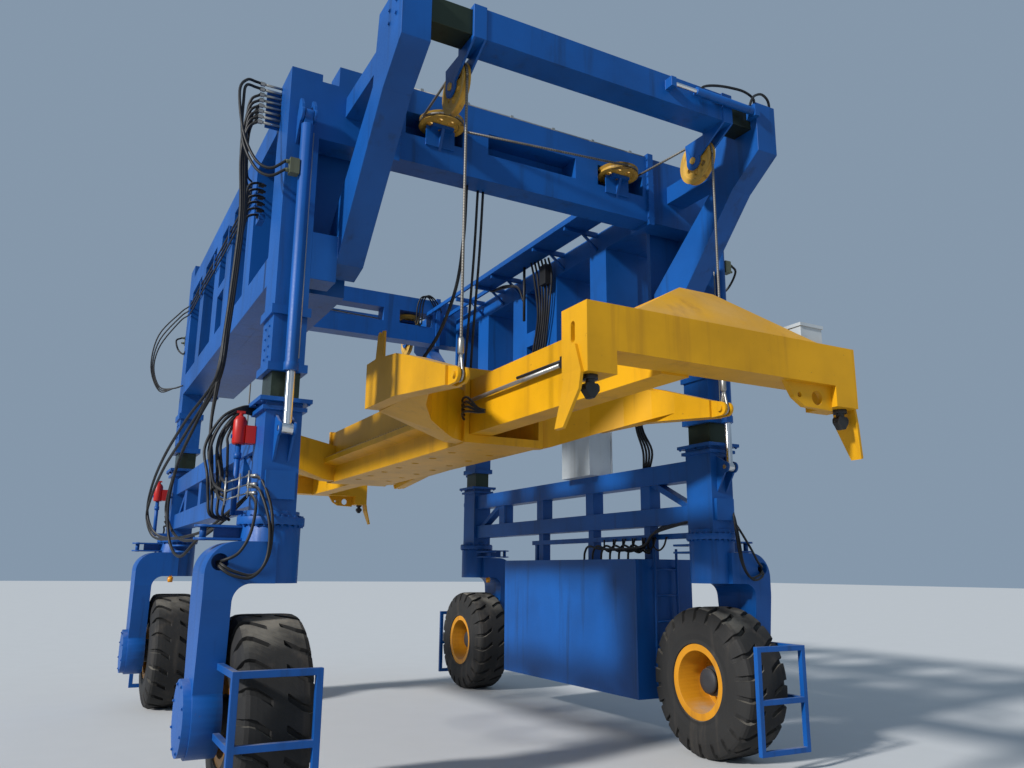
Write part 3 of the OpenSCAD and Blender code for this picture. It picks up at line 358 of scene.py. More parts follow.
# %% The grain group
grain, g_in, g_out = new_group(
    "grain", [("Scale", 60.0), ("Depth", 0.0008)], [("Normal", "NodeSocketVector"), ("Fac", VALUE)]
)
g_place = grain.node("ShaderNodeTexCoord").outputs["Object"]
g_noise = grain.node(
    "ShaderNodeTexNoise", {"Vector": g_place, "Scale": g_in.outputs["Scale"], "Detail": 5.0}
)
g_bump = grain.node(
    "ShaderNodeBump",
    {"Strength": 0.5, "Distance": g_in.outputs["Depth"], "Height": g_noise.outputs["Fac"]},
)
grain.tree.links.new(g_bump.outputs["Normal"], g_out.inputs["Normal"])
grain.tree.links.new(g_noise.outputs["Fac"], g_out.inputs["Fac"])
print("groups:", ", ".join(g.name for g in bpy.data.node_groups))

# %% [markdown]
# ## One function for all finishes
# A finish is a clean colour, a grimy one, a roughness and how much of each kind of wear it shows.
# The Principled shader stays in the material itself, so that gloss and metal are plain settings.

# %% A finish


def rgb(r, g, b):
    return (r, g, b, 1.0)


def finish_of(name, clean, grime, rough, metal=0.0, streaks=0.5, dust=0.5, chips=0.3,
              worn=rgb(0.09, 0.05, 0.03), grain_scale=60.0, depth=0.0006, coat=0.0):
    """A material with weather masks; returns the material, its tree and its colour socket."""
    material = bpy.data.materials.new(name)
    material.use_nodes = True
    t = Tree(material.node_tree)
    shader = next(n for n in t.tree.nodes if n.type == "BSDF_PRINCIPLED")
    masks = t.node("ShaderNodeGroup", node_tree=weather.tree)
    for label, value in (("Streaks", streaks), ("Dust", dust), ("Chips", chips)):
        masks.inputs[label].default_value = value
    fine = t.node("ShaderNodeGroup", node_tree=grain.tree)
    fine.inputs["Scale"].default_value = grain_scale
    fine.inputs["Depth"].default_value = depth
    deep = rgb(*(c * 0.72 for c in clean[:3]))
    colour = t.mix(t.band(masks.outputs["Uneven"], 0.35, 0.7), clean, deep)
    colour = t.mix(masks.outputs["Streaks"], colour, grime)
    colour = t.mix(masks.outputs["Dust"], colour, rgb(0.42, 0.38, 0.31))
    colour = t.mix(masks.outputs["Chips"], colour, worn)
    rough_low = t.math("MULTIPLY", fine.outputs["Fac"], 0.24)
    rough_sum = t.math("ADD", rough_low, rough - 0.12)
    rough_all = t.math("ADD", rough_sum, t.math("MULTIPLY", masks.outputs["Dust"], 0.3), True)
    t.tree.links.new(colour, shader.inputs["Base Color"])
    t.tree.links.new(rough_all, shader.inputs["Roughness"])
    t.tree.links.new(fine.outputs["Normal"], shader.inputs["Normal"])
    shader.inputs["Metallic"].default_value = metal
    shader.inputs["Specular IOR Level"].default_value = 0.32
    shader.inputs["Coat Weight"].default_value = coat
    shader.inputs["Coat Roughness"].default_value = 0.2
    return material, t, colour


def plain(*values, **more):
    return finish_of(*values, **more)[0]


print("finishes are ready to mix")

# %% [markdown]
# ## The finishes
# The colours were matched to the sunlit and the shaded sides of the real paint. Each row is
# the name, the clean colour, the grime, the roughness, and what differs.

# %% Paints, rubber and metals
blue = plain("blue_paint", rgb(0.003, 0.083, 0.33), rgb(0.006, 0.025, 0.07), 0.46)
yellow = plain("yellow_paint", rgb(0.72, 0.35, 0.003), rgb(0.30, 0.12, 0.01), 0.48,
               streaks=0.35, chips=0.8)
grey = plain("grey_paint", rgb(0.52, 0.56, 0.58), rgb(0.25, 0.24, 0.22), 0.45)
red = plain("red_paint", rgb(0.55, 0.02, 0.015), rgb(0.2, 0.02, 0.02), 0.4)
rubber = plain("tyre_rubber", rgb(0.022, 0.021, 0.020), rgb(0.085, 0.07, 0.055), 0.75,
               streaks=0.4, dust=0.5, chips=0.0, grain_scale=90.0, depth=0.001)
hose_black = plain("hose_rubber", rgb(0.014, 0.014, 0.015), rgb(0.05, 0.045, 0.04), 0.5, chips=0.0)
greased = plain("greased_steel", rgb(0.035, 0.05, 0.035), rgb(0.02, 0.018, 0.012), 0.35, metal=0.6,
                streaks=0.9)
chrome = plain("chrome_rod", rgb(0.78, 0.79, 0.80), rgb(0.5, 0.5, 0.48), 0.2, metal=1.0,
               streaks=0.2, dust=0.1, chips=0.0, depth=0.0001)
iron = plain("engine_iron", rgb(0.05, 0.05, 0.055), rgb(0.03, 0.025, 0.02), 0.6, metal=0.3)
zinc = plain("zinc_fitting", rgb(0.42, 0.41, 0.38), rgb(0.2, 0.19, 0.16), 0.4, metal=0.8)
olive = plain("olive_block", rgb(0.13, 0.14, 0.09), rgb(0.05, 0.05, 0.03), 0.5, metal=0.2)
lock_steel = plain("lock_steel", rgb(0.06, 0.06, 0.06), rgb(0.1, 0.05, 0.03), 0.5, metal=0.7)
sheave_paint = plain("sheave_paint", rgb(0.62, 0.36, 0.06), rgb(0.05, 0.035, 0.02), 0.5,
                     streaks=0.9, chips=0.8)
amber = plain("amber_glass", rgb(0.75, 0.28, 0.01), rgb(0.4, 0.15, 0.01), 0.25, chips=0.0)
print("materials:", len(bpy.data.materials))

# %% [markdown]
# A wire rope is laid of strands. Modelling them would take far too many faces, so slanting bands of
# a wave texture paint shade into the gaps between the strands.

# %% Rope steel
rope_steel, t, colour = finish_of("rope_steel", rgb(0.24, 0.22, 0.19), rgb(0.05, 0.04, 0.03), 0.45,
                                  metal=0.3, grain_scale=250.0)
strand = t.node("ShaderNodeTexWave")
strand.inputs["Scale"].default_value = 26.0
strand.bands_direction = "DIAGONAL"
t.tree.links.new(t.node("ShaderNodeTexCoord").outputs["Object"], strand.inputs["Vector"])
rope_shader = next(n for n in t.tree.nodes if n.type == "BSDF_PRINCIPLED")
# painted shade: these bands darken the gaps between the strands, where shade falls
dark = t.band(strand.outputs["Fac"], 0.25, 0.55)
t.tree.links.new(t.mix(dark, rgb(0.10, 0.09, 0.075), colour), rope_shader.inputs["Base Color"])
print("rope steel with strands")

# %% [markdown]
# The rim is orange, and its hub is dark. They are one CAD solid, so a mask by the distance from the
# wheel's axis parts the two colours.

# %% Rim paint
rim_paint, t, colour = finish_of("rim_paint", rgb(0.60, 0.25, 0.010), rgb(0.22, 0.08, 0.02), 0.46)
spot = t.node("ShaderNodeSeparateXYZ", {0: t.node("ShaderNodeTexCoord").outputs["Object"]})
across = t.math("SUBTRACT", t.math("ABSOLUTE", spot.outputs["Y"]), leg_y)
above = t.math("SUBTRACT", spot.outputs["Z"], axle_z)
square = t.math("ADD", t.math("MULTIPLY", across, across), t.math("MULTIPLY", above, above))
HUB_R = 0.160
hub_mask = t.band(t.math("SQRT", square), HUB_R, HUB_R + 0.005)
rim_shader = next(n for n in t.tree.nodes if n.type == "BSDF_PRINCIPLED")
t.tree.links.new(t.mix(hub_mask, rgb(0.03, 0.03, 0.032), colour), rim_shader.inputs["Base Color"])
print("rim paint with a dark hub")

# %% [markdown]
# ## The CAD nodes get their finishes
# Most of the machine is blue, so the table names only the nodes that aren't, and the wheels go by
# the first word of their names.

# %% Dress the CAD nodes
FINISH = {
    "greased": greased, "blue": blue, "yellow": yellow, "chrome": chrome, "iron": iron,
    "grey": grey, "sheave": sheave_paint, "rope": rope_steel, "lock": lock_steel,
    "rim": rim_paint, "rubber": rubber,
}
NODE_FINISH = {
    "inner_columns": "greased", "shift_tubes": "greased", "lift_rods": "chrome",
    "shift_rods": "chrome", "engine_block": "iron", "control_cabinet": "grey",
    "cabinet_door": "grey", "deflection_sheaves": "sheave", "hoist_sheaves": "sheave",
    "frame_body": "yellow", "frame_yokes": "yellow", "telescope_front": "yellow",
    "telescope_rear": "yellow", "twistlocks_front": "lock", "twistlocks_rear": "lock",
    "hoist_ropes": "rope",
}
for name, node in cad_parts.items():
    family = name.split("_")[0]
    kind = NODE_FINISH.get(name, {"rim": "rim", "tyre": "rubber"}.get(family, "blue"))
    node.data.materials.clear()
    node.data.materials.append(FINISH[kind])
print("dressed", len(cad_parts), "nodes")

# %% [markdown]
# Edges of real plate are never sharp, and they catch the light. A bevel modifier rounds them by a
# few millimetres without a change to the CAD mesh. Tyres and sheaves are round already.

# %% Round the edges
EDGE = 0.004
ROUNDED = [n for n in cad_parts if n.split("_")[0] not in ("tyre", "hoist", "deflection")]
for name in ROUNDED:
    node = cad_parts[name]
    weld = node.modifiers.new("weld", "WELD")
    weld.merge_threshold = 0.00005
    bevel = node.modifiers.new("round", "BEVEL")
    bevel.width = EDGE
    bevel.segments = 2
    bevel.limit_method = "ANGLE"
    bevel.angle_limit = math.radians(40)
    bevel.harden_normals = True
print("rounded", len(ROUNDED), "nodes")

# %% [markdown]
# ## Tyres with tread
# A port tyre has deep slots that slant in from both shoulders, half a pitch apart, and a closed
# band in the middle. A boolean for each slot would be slow and rough, so the tyre is one turned
# surface whose points sink where a slot is. It replaces the plain CAD tyre.

# %% The shape of the tread
PITCHES = 22
SLOT = 0.27
SLOT_DEPTH = 0.036
SLANT = 0.6
BEAD, SHOULDER = 0.33, 0.16  # radius of the bead, and how far in from the tread the slots reach
STEPS = (0.0, 0.03, SLOT - 0.03, SLOT, 0.36, 0.5, 0.53, SLOT + 0.47, SLOT + 0.5, 0.86)


def tyre_profile():
    """(distance from the tyre's middle, radius) from one bead over the tread to the other."""
    h, r, bead = tyre_half, tyre_r, BEAD
    half = [
        (h - 0.032, bead), (h - 0.014, bead + 0.0497), (h - 0.002, bead + 0.053),
        (h - 0.012, bead + 0.09), (h - 0.002, bead + 0.15), (h, r - 0.19), (h - 0.002, r - 0.15),
        (h - 0.014, r - 0.10), (h - 0.022, r - 0.07), (h - 0.03, r - 0.045), (h - 0.045, r - 0.02),
        (h - 0.075, r - 0.005), (h - 0.12, r - 0.001), (h - 0.16, r), (0.075, r), (0.06, r),
        (0.05, r), (0.03, r),
    ]
    return [(-x, z) for x, z in half] + [(x, z) for x, z in reversed(half)]


def slot_depth(x, radius, t):
    """Depth of the tread's slots at a place across (x) and round (t, in pitches)."""
    phase = (t if x > 0 else t + 0.5) % 1.0
    in_slot = 0.02 < phase < SLOT - 0.02
    if not in_slot or abs(x) < 0.055 or radius < tyre_r - SHOULDER:
        return 0.0
    fade = min(1.0, (radius - (tyre_r - SHOULDER)) / 0.05)
    return SLOT_DEPTH * fade


print("tread:", PITCHES, "slots a side,", len(tyre_profile()), "points in the profile")

# %% [markdown]
# The tyre is written once and mirrored to the four corners. Its faces are turned round on the right
# side, so that they all face out.

# %% The four tyres


def make_tyre(corner, sx, sy):
    profile = tyre_profile()
    columns = [(p + s) / PITCHES for p in range(PITCHES) for s in STEPS]
    verts, faces = [], []
    for x, radius in profile:
        for c in columns:
            t = c * PITCHES
            depth = slot_depth(x, radius, t)
            lean = SLANT * min(1.0, abs(x) / (0.65 * tyre_half)) * (1 if x > 0 else -1)
            a = 2 * math.pi * (c + lean / PITCHES)
            side = min(1.0, max(0.0, (tyre_r - radius) / 0.06))
            r = radius - depth * (1 - 0.6 * side)
            xx = x - math.copysign(depth * 0.7 * side, x)
            verts.append((sx * (leg_x + xx), sy * leg_y + r * math.sin(a), axle_z + r * math.cos(a)))
    n = len(columns)
    for i in range(len(profile) - 1):
        for k in range(n):
            a, b = i * n + k, i * n + (k + 1) % n
            face = (a, b, b + n, a + n)
            faces.append(face if sx < 0 else face[::-1])
    piece = Shape().add(verts, faces).make("tread_" + corner, rubber, "wheel_" + corner)
    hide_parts("tyre_" + corner)


for corner, (sx, sy) in CORNERS.items():
    make_tyre(corner, sx, sy)

# %% [markdown]
# ## Bolts
# Where the real machine comes apart for transport its plates are bolted: at the slewing rings, the
# column tops, the posts and the beams. Instances on points would be light, but the export wants
# plain meshes, so a helper gives the places on a circle and each hexagon head joins one shape.

# %% Column bolts
RING_BOLTS, RING_BOLT_R = 24, 0.248
RING_DEEP = 0.06
TOP_BOLTS = ((0.19, 0.24), (0, 0.24), (-0.19, 0.24), (0.19, 0), (-0.19, 0))


def ring_places(centre, axis, radius, count):
    """Places on a circle round an axis, half a step off its first direction."""
    _, u, v = basis(axis)
    for k in range(count):
        a = 2 * math.pi * (k + 0.5) / count
        yield Vector(centre) + (u * math.cos(a) + v * math.sin(a)) * radius


def bolt_column(shape, sx, sy):
    """Bolts above and below the slewing ring, and under the plate at the column's top."""
    for at in ring_places((sx * leg_x, sy * leg_y, RING_TOP), (0, 0, 1), RING_BOLT_R, RING_BOLTS):
        shape.bolt(at, (0, 0, 1), 0.024)
        shape.bolt((at[0], at[1], RING_TOP - RING_DEEP), (0, 0, -1), 0.024)
    for dx, dy in TOP_BOLTS:
        for flip in (-1, 1):
            at = (sx * leg_x + dx, sy * leg_y + flip * dy, column_top - 0.035)
            shape.bolt(at, (0, 0, -1), 0.022)


column_bolts = Shape()
for sx, sy in CORNERS.values():
    bolt_column(column_bolts, sx, sy)
column_bolts.make("column_bolts", blue, "base")

# %% [markdown]
# The portal's bolts stand on the posts' feet, on the joints of the cross beams, and on the end
# plates of the cranked arms. They ride on one body, so they are one piece.

# %% Portal bolts
FOOT_Z, JOINT_Z = 3.60, 5.68
ARM_SIDE = 1.995
ARM_BOLTS = ((4.22, 6.30), (4.38, 6.30), (4.22, 6.18), (4.38, 6.18))  # y, z


def bolt_portal(shape, sx, sy):
    for step in range(4):
        for dy in (-0.07, 0.07):
            shape.bolt((sx * post_side, sy * leg_y + dy, FOOT_Z + 0.09 * step), (sx, 0, 0), 0.016)
    for side in (-1, 1):
        for step in range(8):
            at = (sx * JOINT_X + side * 0.035, sy * (beam_face + 0.016), JOINT_Z + 0.1 * step)
            shape.bolt(at, (side, 0, 0), 0.018)
    for y, z in ARM_BOLTS:
        shape.bolt((sx * ARM_SIDE, sy * y, z), (sx, 0, 0), 0.022)


portal_bolts = Shape()
for sx, sy in CORNERS.values():
    bolt_portal(portal_bolts, sx, sy)
portal_bolts.make("portal_bolts", blue, "portal")

# %% [markdown]
# ## Hubs
# On the real wheel a ring of nuts holds the rim, and a dark cap covers the end of the axle. Outside,
# the fork's hub cover is bolted on. The nuts turn with the wheel and the cover's bolts don't, so
# they are pieces on two bodies.

# %% Hub bolts, wheel nuts and caps
HUB_BOLTS, HUB_BOLT_R = 8, 0.252
NUTS, NUT_R = 16, 0.2
CAP = [(0.128, 0), (0.128, 0.012), (0.11, 0.028), (0.05, 0.034)]  # radius, height


def dress_hub(corner, sx, sy):
    hub, nuts, cap = Shape(), Shape(), Shape()
    for at in ring_places((sx * fork_out, sy * leg_y, axle_z), (sx, 0, 0), HUB_BOLT_R, HUB_BOLTS):
        hub.bolt(at, (sx, 0, 0), 0.017)
    for at in ring_places((sx * (leg_x + 0.1), sy * leg_y, axle_z), (-sx, 0, 0), NUT_R, NUTS):
        nuts.bolt(at, (-sx, 0, 0), 0.03)
    cap.turned((sx * (leg_x - 0.118), sy * leg_y, axle_z), (-sx, 0, 0), CAP, 32)
    hub.make("hub_bolts_" + corner, blue, "fork_" + corner)
    nuts.make("wheel_nuts_" + corner, zinc, "wheel_" + corner)
    cap.make("hub_cap_" + corner, iron, "wheel_" + corner)


for corner, (sx, sy) in CORNERS.items():
    dress_hub(corner, sx, sy)

# %% [markdown]
# ## Steering links
# A lever of two plates sticks out from each fork, and the steering cylinder's pin goes through its
# round ends. It is written once for the rear right corner, and a helper mirrors its boxes, so that
# the four stay alike.

# %% Levers and pins
LINK_Z, LINK_PLATE = (2.072, 2.172), 0.018
LINK_EYE, LINK_PIN = leg_x + 0.50, leg_x + 0.52
LINK_Y = leg_y - 0.03


def mirror_box(shape, low, high, sx, sy):
    """A box given for the rear right corner, mirrored to another one."""
    ends = list(zip(mirrored(low, sx, sy), mirrored(high, sx, sy)))
    return shape.box([min(e) for e in ends], [max(e) for e in ends])


def steer_link(corner, sx, sy):
    link = Shape()
    for z in LINK_Z:
        high = (LINK_EYE, leg_y + 0.06, z + LINK_PLATE)
        mirror_box(link, (leg_x + 0.03, leg_y - 0.12, z), high, sx, sy)
        link.turned((sx * LINK_EYE, sy * LINK_Y, z), (0, 0, 1), [(0.09, 0), (0.09, LINK_PLATE)], 24)
    high = (leg_x + 0.44, LINK_Y + 0.012, 2.173)
    mirror_box(link, (leg_x + 0.20, LINK_Y - 0.012, 2.089), high, sx, sy)
    link.rod((sx * LINK_PIN, sy * LINK_Y, 2.068), (sx * LINK_PIN, sy * LINK_Y, 2.194), 0.026, 16)
    link.make("steer_link_" + corner, blue, "fork_" + corner)


for corner, (sx, sy) in CORNERS.items():
    steer_link(corner, sx, sy)

# %% [markdown]
# ## Backs of the front windows
# The front cross beam is a closed box, so its windows are shallow pockets. A thin plate behind each
# one gives the pocket its bottom.

# %% Window backs
FRONT_WINDOWS = ((-1.405, -0.805), (-0.52, 0.52), (0.805, 1.405))
backs = Shape()
for x0, x1 in FRONT_WINDOWS:
    backs.box((x0 + 0.001, -2.833, 5.926), (x1 - 0.001, -2.821, 6.154))
backs.make("window_backs", blue, "portal")

# %% [markdown]
# ## Deep side frames
# The real side frames are boxes, so a look through their windows meets the walls of the box. Two
# rails, six posts and a short bar behind each CAD frame give that depth, and the windows stay open.

# %% Side frame boxes
DEEP_X, FRAME_BACK, FRAME_HALF = 1.80, 2.2855, 2.70
RAILS_Z = ((4.312, 4.588), (5.842, 6.098))
POSTS_Y = ((-2.70, -2.64), (-1.81, -1.45), (-0.62, -0.207), (0.207, 0.62), (1.45, 1.81), (2.64, 2.70))
for side, sx in (("left", -1), ("right", 1)):
    deep = Shape()
    for z0, z1 in RAILS_Z:
        mirror_box(deep, (DEEP_X, -FRAME_HALF, z0), (FRAME_BACK, FRAME_HALF, z1), sx, 1)
    for y0, y1 in POSTS_Y:
        mirror_box(deep, (DEEP_X, y0, 4.587), (FRAME_BACK, y1, 5.843), sx, 1)
    mirror_box(deep, (DEEP_X, -0.208, 5.015), (FRAME_BACK, 0.208, 5.221), sx, 1)
    deep.make("deep_frame_" + side, blue, "portal")

# %% [markdown]
# ## Shelf beside the right frame
# A narrow shelf runs along the inside of the right frame and carries its hoses. Cross bars and short
# braces hold it. Towards the rear its plate stops, and the two edges run on.

# %% The shelf
SHELF_X, SHELF_Z, SHELF_W = 1.28, 6.10, 0.36
shelf = Shape().box((SHELF_X, -2.817, SHELF_Z), (SHELF_X + SHELF_W, 0.95, SHELF_Z + 0.012))
for x in (SHELF_X, SHELF_X + 0.33):
    shelf.box((x, -2.817, SHELF_Z + 0.011), (x + 0.03, 2.817, SHELF_Z + 0.07))
for y in (-1.62, -0.82, 0.4, 0.93, 1.62):
    bar_end = (DEEP_X + 0.001, y + 0.02, SHELF_Z + 0.012)
    shelf.box((SHELF_X + 0.02, y - 0.02, SHELF_Z - 0.05), bar_end)
    brace_end = (DEEP_X + 0.001, y, SHELF_Z - 0.22)
    shelf.rod((SHELF_X + 0.30, y, SHELF_Z - 0.04), brace_end, 0.02, 10)
shelf.make("side_shelf", blue, "portal")

# %% [markdown]
# ## Ropes over the sheaves
# Each hoist rope comes across the beam, turns round a sheave that lies flat, and goes over an
# upright one. A curve with a bevel would do, but arcs worked out from the sheaves' own boxes lie in
# their grooves. The short stretch between the two sheaves crosses the side-shift joint, so it is
# baked in place and rides on neither body.

# %% Ropes round the sheaves
ROPE = 0.012
GROOVE = 0.022
FLAT_R = 0.22
rope_low, rope_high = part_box("hoist_ropes")
sheave_low, sheave_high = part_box("hoist_sheaves")
flat_low, flat_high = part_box("deflection_sheaves")
rope_x = {-1: rope_low.x + ROPE, 1: rope_high.x - ROPE}
rope_y = rope_high.y - ROPE
sheave_r = (sheave_high.z - sheave_low.z) / 2
sheave_y, sheave_z = sheave_high.y - sheave_r, (sheave_high.z + sheave_low.z) / 2
flat_x, flat_y = flat_high.x - FLAT_R, flat_high.y - FLAT_R
flat_z = (flat_low.z + flat_high.z) / 2
wind_r, flat_wind = sheave_r - GROOVE + ROPE, FLAT_R - GROOVE + ROPE


def arc(centre, u, v, radius, start, end, steps=14):
    """Points on a circle from one angle to another, in degrees."""
    centre, u, v = Vector(centre), Vector(u), Vector(v)
    points = []
    for k in range(steps + 1):
        a = math.radians(start + (end - start) * k / steps)
        points.append(centre + (u * math.cos(a) + v * math.sin(a)) * radius)
    return points


def wind_rope(corner, sx, sy):
    over = arc((rope_x[sx], sy * sheave_y, sheave_z), (0, sy, 0), (0, 0, 1), wind_r, 0, 100)
    Shape().tube(over, ROPE, 10).make("rope_over_" + corner, rope_steel, "shift_carriage")
    flat, last = (sx * flat_x, sy * flat_y, flat_z), 178 if sx < 0 else 96
    lead = arc(flat, (sx, 0, 0), (0, sy, 0), flat_wind, -10, last)
    Shape().tube(lead, ROPE, 10).make("rope_round_" + corner, rope_steel, "portal")
    link = Shape().tube([lead[0], lead[0].lerp(over[-1], 0.5), over[-1]], ROPE, 10)
    link = link.make("rope_link_" + corner, rope_steel)
    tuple(lead[0])
    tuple(over[-1])
    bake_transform(link)


for corner, (sx, sy) in CORNERS.items():
    wind_rope(corner, sx, sy)
for end, sy in (("front", -1), ("rear", 1)):
    start = (-flat_x + flat_wind, sy * (beam_face + 0.03), flat_z - 0.01)
    finish = (flat_x - 0.02, sy * (flat_y + flat_wind), flat_z)
    Shape().tube([start, finish], ROPE, 10).make("rope_across_" + end, rope_steel, "portal")

# %% [markdown]
# ## Falls and their ends
# The falls grow and shrink as the frame goes down and up. The CAD ropes are stiff bars, so one piece
# with many rings stands in for them; it is baked in place and rides on neither body. Below the falls, a
# ferrule and a loop round the yoke's pin ride on the frame.

# %% Falls and rope ends
FALL_RINGS = 49
FERRULE_Z = 3.50
FERRULE = [(0.018, 0), (0.026, 0.015), (0.026, 0.12), (0.016, 0.14)]  # radius, height
LOOP_R = 0.047
lug_z = rope_low.z - 0.028

falls = Shape()
for sx, sy in CORNERS.values():
    heights = np.linspace(rope_low.z, rope_high.z, FALL_RINGS)
    falls.tube([(rope_x[sx], sy * rope_y, z) for z in heights], ROPE, 12)
falls = falls.make("rope_falls", rope_steel)
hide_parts("hoist_ropes")
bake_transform(falls)


def rope_end(corner, sx, sy):
    x, y = rope_x[sx], sy * rope_y
    grip = Shape().turned((x, y, FERRULE_Z), (0, 0, 1), FERRULE, 20)
    eye = arc((x, y, lug_z), (0, 1, 0), (0, 0, 1), LOOP_R, -220, 40, 18)
    top = FERRULE_Z + 0.01
    eye = [(x, y - 0.006, top)] + [tuple(p) for p in eye] + [(x, y + 0.006, top)]
    grip.tube(spline(eye, 3), ROPE, 8)
    grip.make("rope_end_" + corner, zinc, "lifting_frame")


for corner, (sx, sy) in CORNERS.items():
    rope_end(corner, sx, sy)

# %% [markdown]
# ## Valve blocks
# A small block on each lift cylinder holds the load if a hose bursts. It is a real box with two
# screwed unions, a steel pipe down the cylinder, and a short hose to the post. The left front one
# has longer hoses, which come later. Pipes and hoses that ride on the portal gather in two shapes.

# %% Valve blocks
HOSE = 0.013
BLOCK_X, BLOCK_Y, BLOCK_Z = leg_x + 0.054, leg_y + 0.33, 5.24
UNION = [(0.018, 0), (0.018, 0.03), (0.013, 0.035), (0.013, 0.05)]  # radius, height
blocks, pipes, portal_hoses = Shape(), Shape(), Shape()


def valve_block(corner, sx, sy):
    low = (BLOCK_X, BLOCK_Y - 0.04, BLOCK_Z - 0.07)
    mirror_box(blocks, low, (BLOCK_X + 0.08, BLOCK_Y + 0.04, BLOCK_Z + 0.07), sx, sy)
    for dz in (0.04, -0.04):
        start = mirrored((BLOCK_X + 0.075, BLOCK_Y, BLOCK_Z + dz), sx, sy)
        blocks.turned(start, (sx, 0, 0), UNION, 6, False)
    feed = [(leg_x - 0.062, leg_y + 0.30, z) for z in (5.62, 5.2, 4.4, 3.56)]
    pipes.tube([mirrored(q, sx, sy) for q in feed], 0.008, 8)
    if corner == "front_left":
        return
    bow = [(BLOCK_X + 0.12, BLOCK_Y, 5.28), (BLOCK_X + 0.20, leg_y + 0.31, 5.22),
           (BLOCK_X + 0.17, leg_y + 0.22, 5.06), (post_side + 0.02, leg_y + 0.12, 4.98),
           (post_side - 0.01, leg_y + 0.05, 5.02)]
    portal_hoses.tube([mirrored(q, sx, sy) for q in spline(bow)], HOSE, 8)


for corner, (sx, sy) in CORNERS.items():
    valve_block(corner, sx, sy)
blocks.make("valve_blocks", olive, "portal")

# %% [markdown]
# ## The pipe rack
# On the left front post eight short pipes come out of the frame, one above the other, and take the
# hoses. The two topmost loop back to the valve block. A given route with a smooth path through it
# gives a hose the curve that its own stiffness would.

# %% Rack pipes and their loops
RACK = [5.86 + 0.055 * k for k in range(8)]
RACK_Y, RACK_OUT = -(leg_y - 0.17), 0.17
rack = Shape()
rack.box((-post_side - 0.13, RACK_Y + 0.03, 5.835), (-post_side, RACK_Y + 0.04, 6.225))
for z in RACK:
    pipes.rod((-post_side, RACK_Y, z), (-post_side - RACK_OUT, RACK_Y, z), 0.012, 10)
    nut_at = (-post_side - RACK_OUT + 0.01, RACK_Y, z)
    pipes.turned(nut_at, (-1, 0, 0), [(0.02, 0), (0.02, 0.04)], 6, False)
rack.make("pipe_rack", blue, "portal")
for height, sag, top in ((5.28, 5.20, RACK[7]), (5.20, 5.13, RACK[6])):
    loop = [(-2.53, -3.23, height), (-2.65, -3.19, sag), (-2.77, -3.12, sag + 0.09),
            (-2.87, -3.02, sag + 0.38), (-2.91 + (5.28 - height) / 2, -2.90, top - 0.23),
            (-2.84, -2.80, top - 0.04), (-2.75, -2.74, top), (-2.69, RACK_Y, top)]
    portal_hoses.tube(spline(loop), HOSE, 10)
print(len(RACK), "pipes in the rack")

# %% [markdown]
# ## Hoses along the side frame
# Three thin hoses leave the rack, lie along the windows of the left frame under flat clamps, and
# drop in a wide loop behind the rear post. Beside the rack six more come out of the frame in a knot,
# and on the rear beam three make a small bow.

# %% Side frame hoses and clamps
RUN_START, RUN_END = -1.35, 2.62
for k in range(3):
    z, out = 5.50 + 0.07 * k, 0.02 * k
    run = [(-2.70, RACK_Y, RACK[k + 1]), (-2.76, -2.66, RACK[k + 1] - 0.16), (-2.70, -2.35, z - 0.12),
           (-2.58, -1.95, z - 0.04), (-2.53, RUN_START, z), (-2.53, 0.2, z - 0.02), (-2.53, 1.6, z),
           (-2.53, RUN_END, z), (-2.62, 2.9, z - 0.05), (-2.84 - out, 3.1, z - 0.4),
           (-2.9 - out, 3.12, 4.75), (-2.8, 3.05, 4.45 - 0.03 * k), (-2.62, 2.9, 4.42),
           (-2.50, 2.8, 4.46)]
    portal_hoses.tube(spline(run, 6), 0.010, 8)
    x, rise = 1.10 + 0.05 * k, 0.02 * k
    bow = [(x, 2.81, 5.95), (x, 2.76, 6.26 + rise), (x + 0.06, 2.73, 6.41 + rise),
           (x + 0.18, 2.73, 6.42), (x + 0.30, 2.77, 6.30), (x + 0.36, 2.81, 6.22)]
    portal_hoses.tube(spline(bow), HOSE, 8)
for k in range(6):
    z = 5.12 + 0.065 * k
    knot = [(-post_side, -2.30, z), (-2.57, -2.31, z + 0.01), (-2.64, -2.36, z - 0.03),
            (-2.70, -2.50, z - 0.14), (-2.74, -2.60, z - 0.35)]
    portal_hoses.tube(spline(knot), 0.012, 8)
    nut_at = (-post_side - 0.02, -2.30, z)
    portal_hoses.turned(nut_at, (-1, 0, 0), [(0.022, 0), (0.022, 0.05)], 6, False)

clamps = Shape()
for y in (-1.5, -0.5, 0.5, 1.6, 2.6):
    clamps.box((-2.545, y - 0.02, 5.49), (-post_side + 0.001, y + 0.02, 5.70))
clamps.box((-2.56, -2.38, 5.06), (-post_side + 0.001, -2.22, 5.12))
clamps.make("hose_clamps", blue, "portal")

# %% [markdown]
# ## Hoses of the side-shift cylinders
# Each side-shift cylinder lies on its beam and takes its oil from two hoses that arch over the right
# arm. Two steel pipes run along the top of the beam under saddles. They are the last to join the two
# gathered shapes, which are made here.

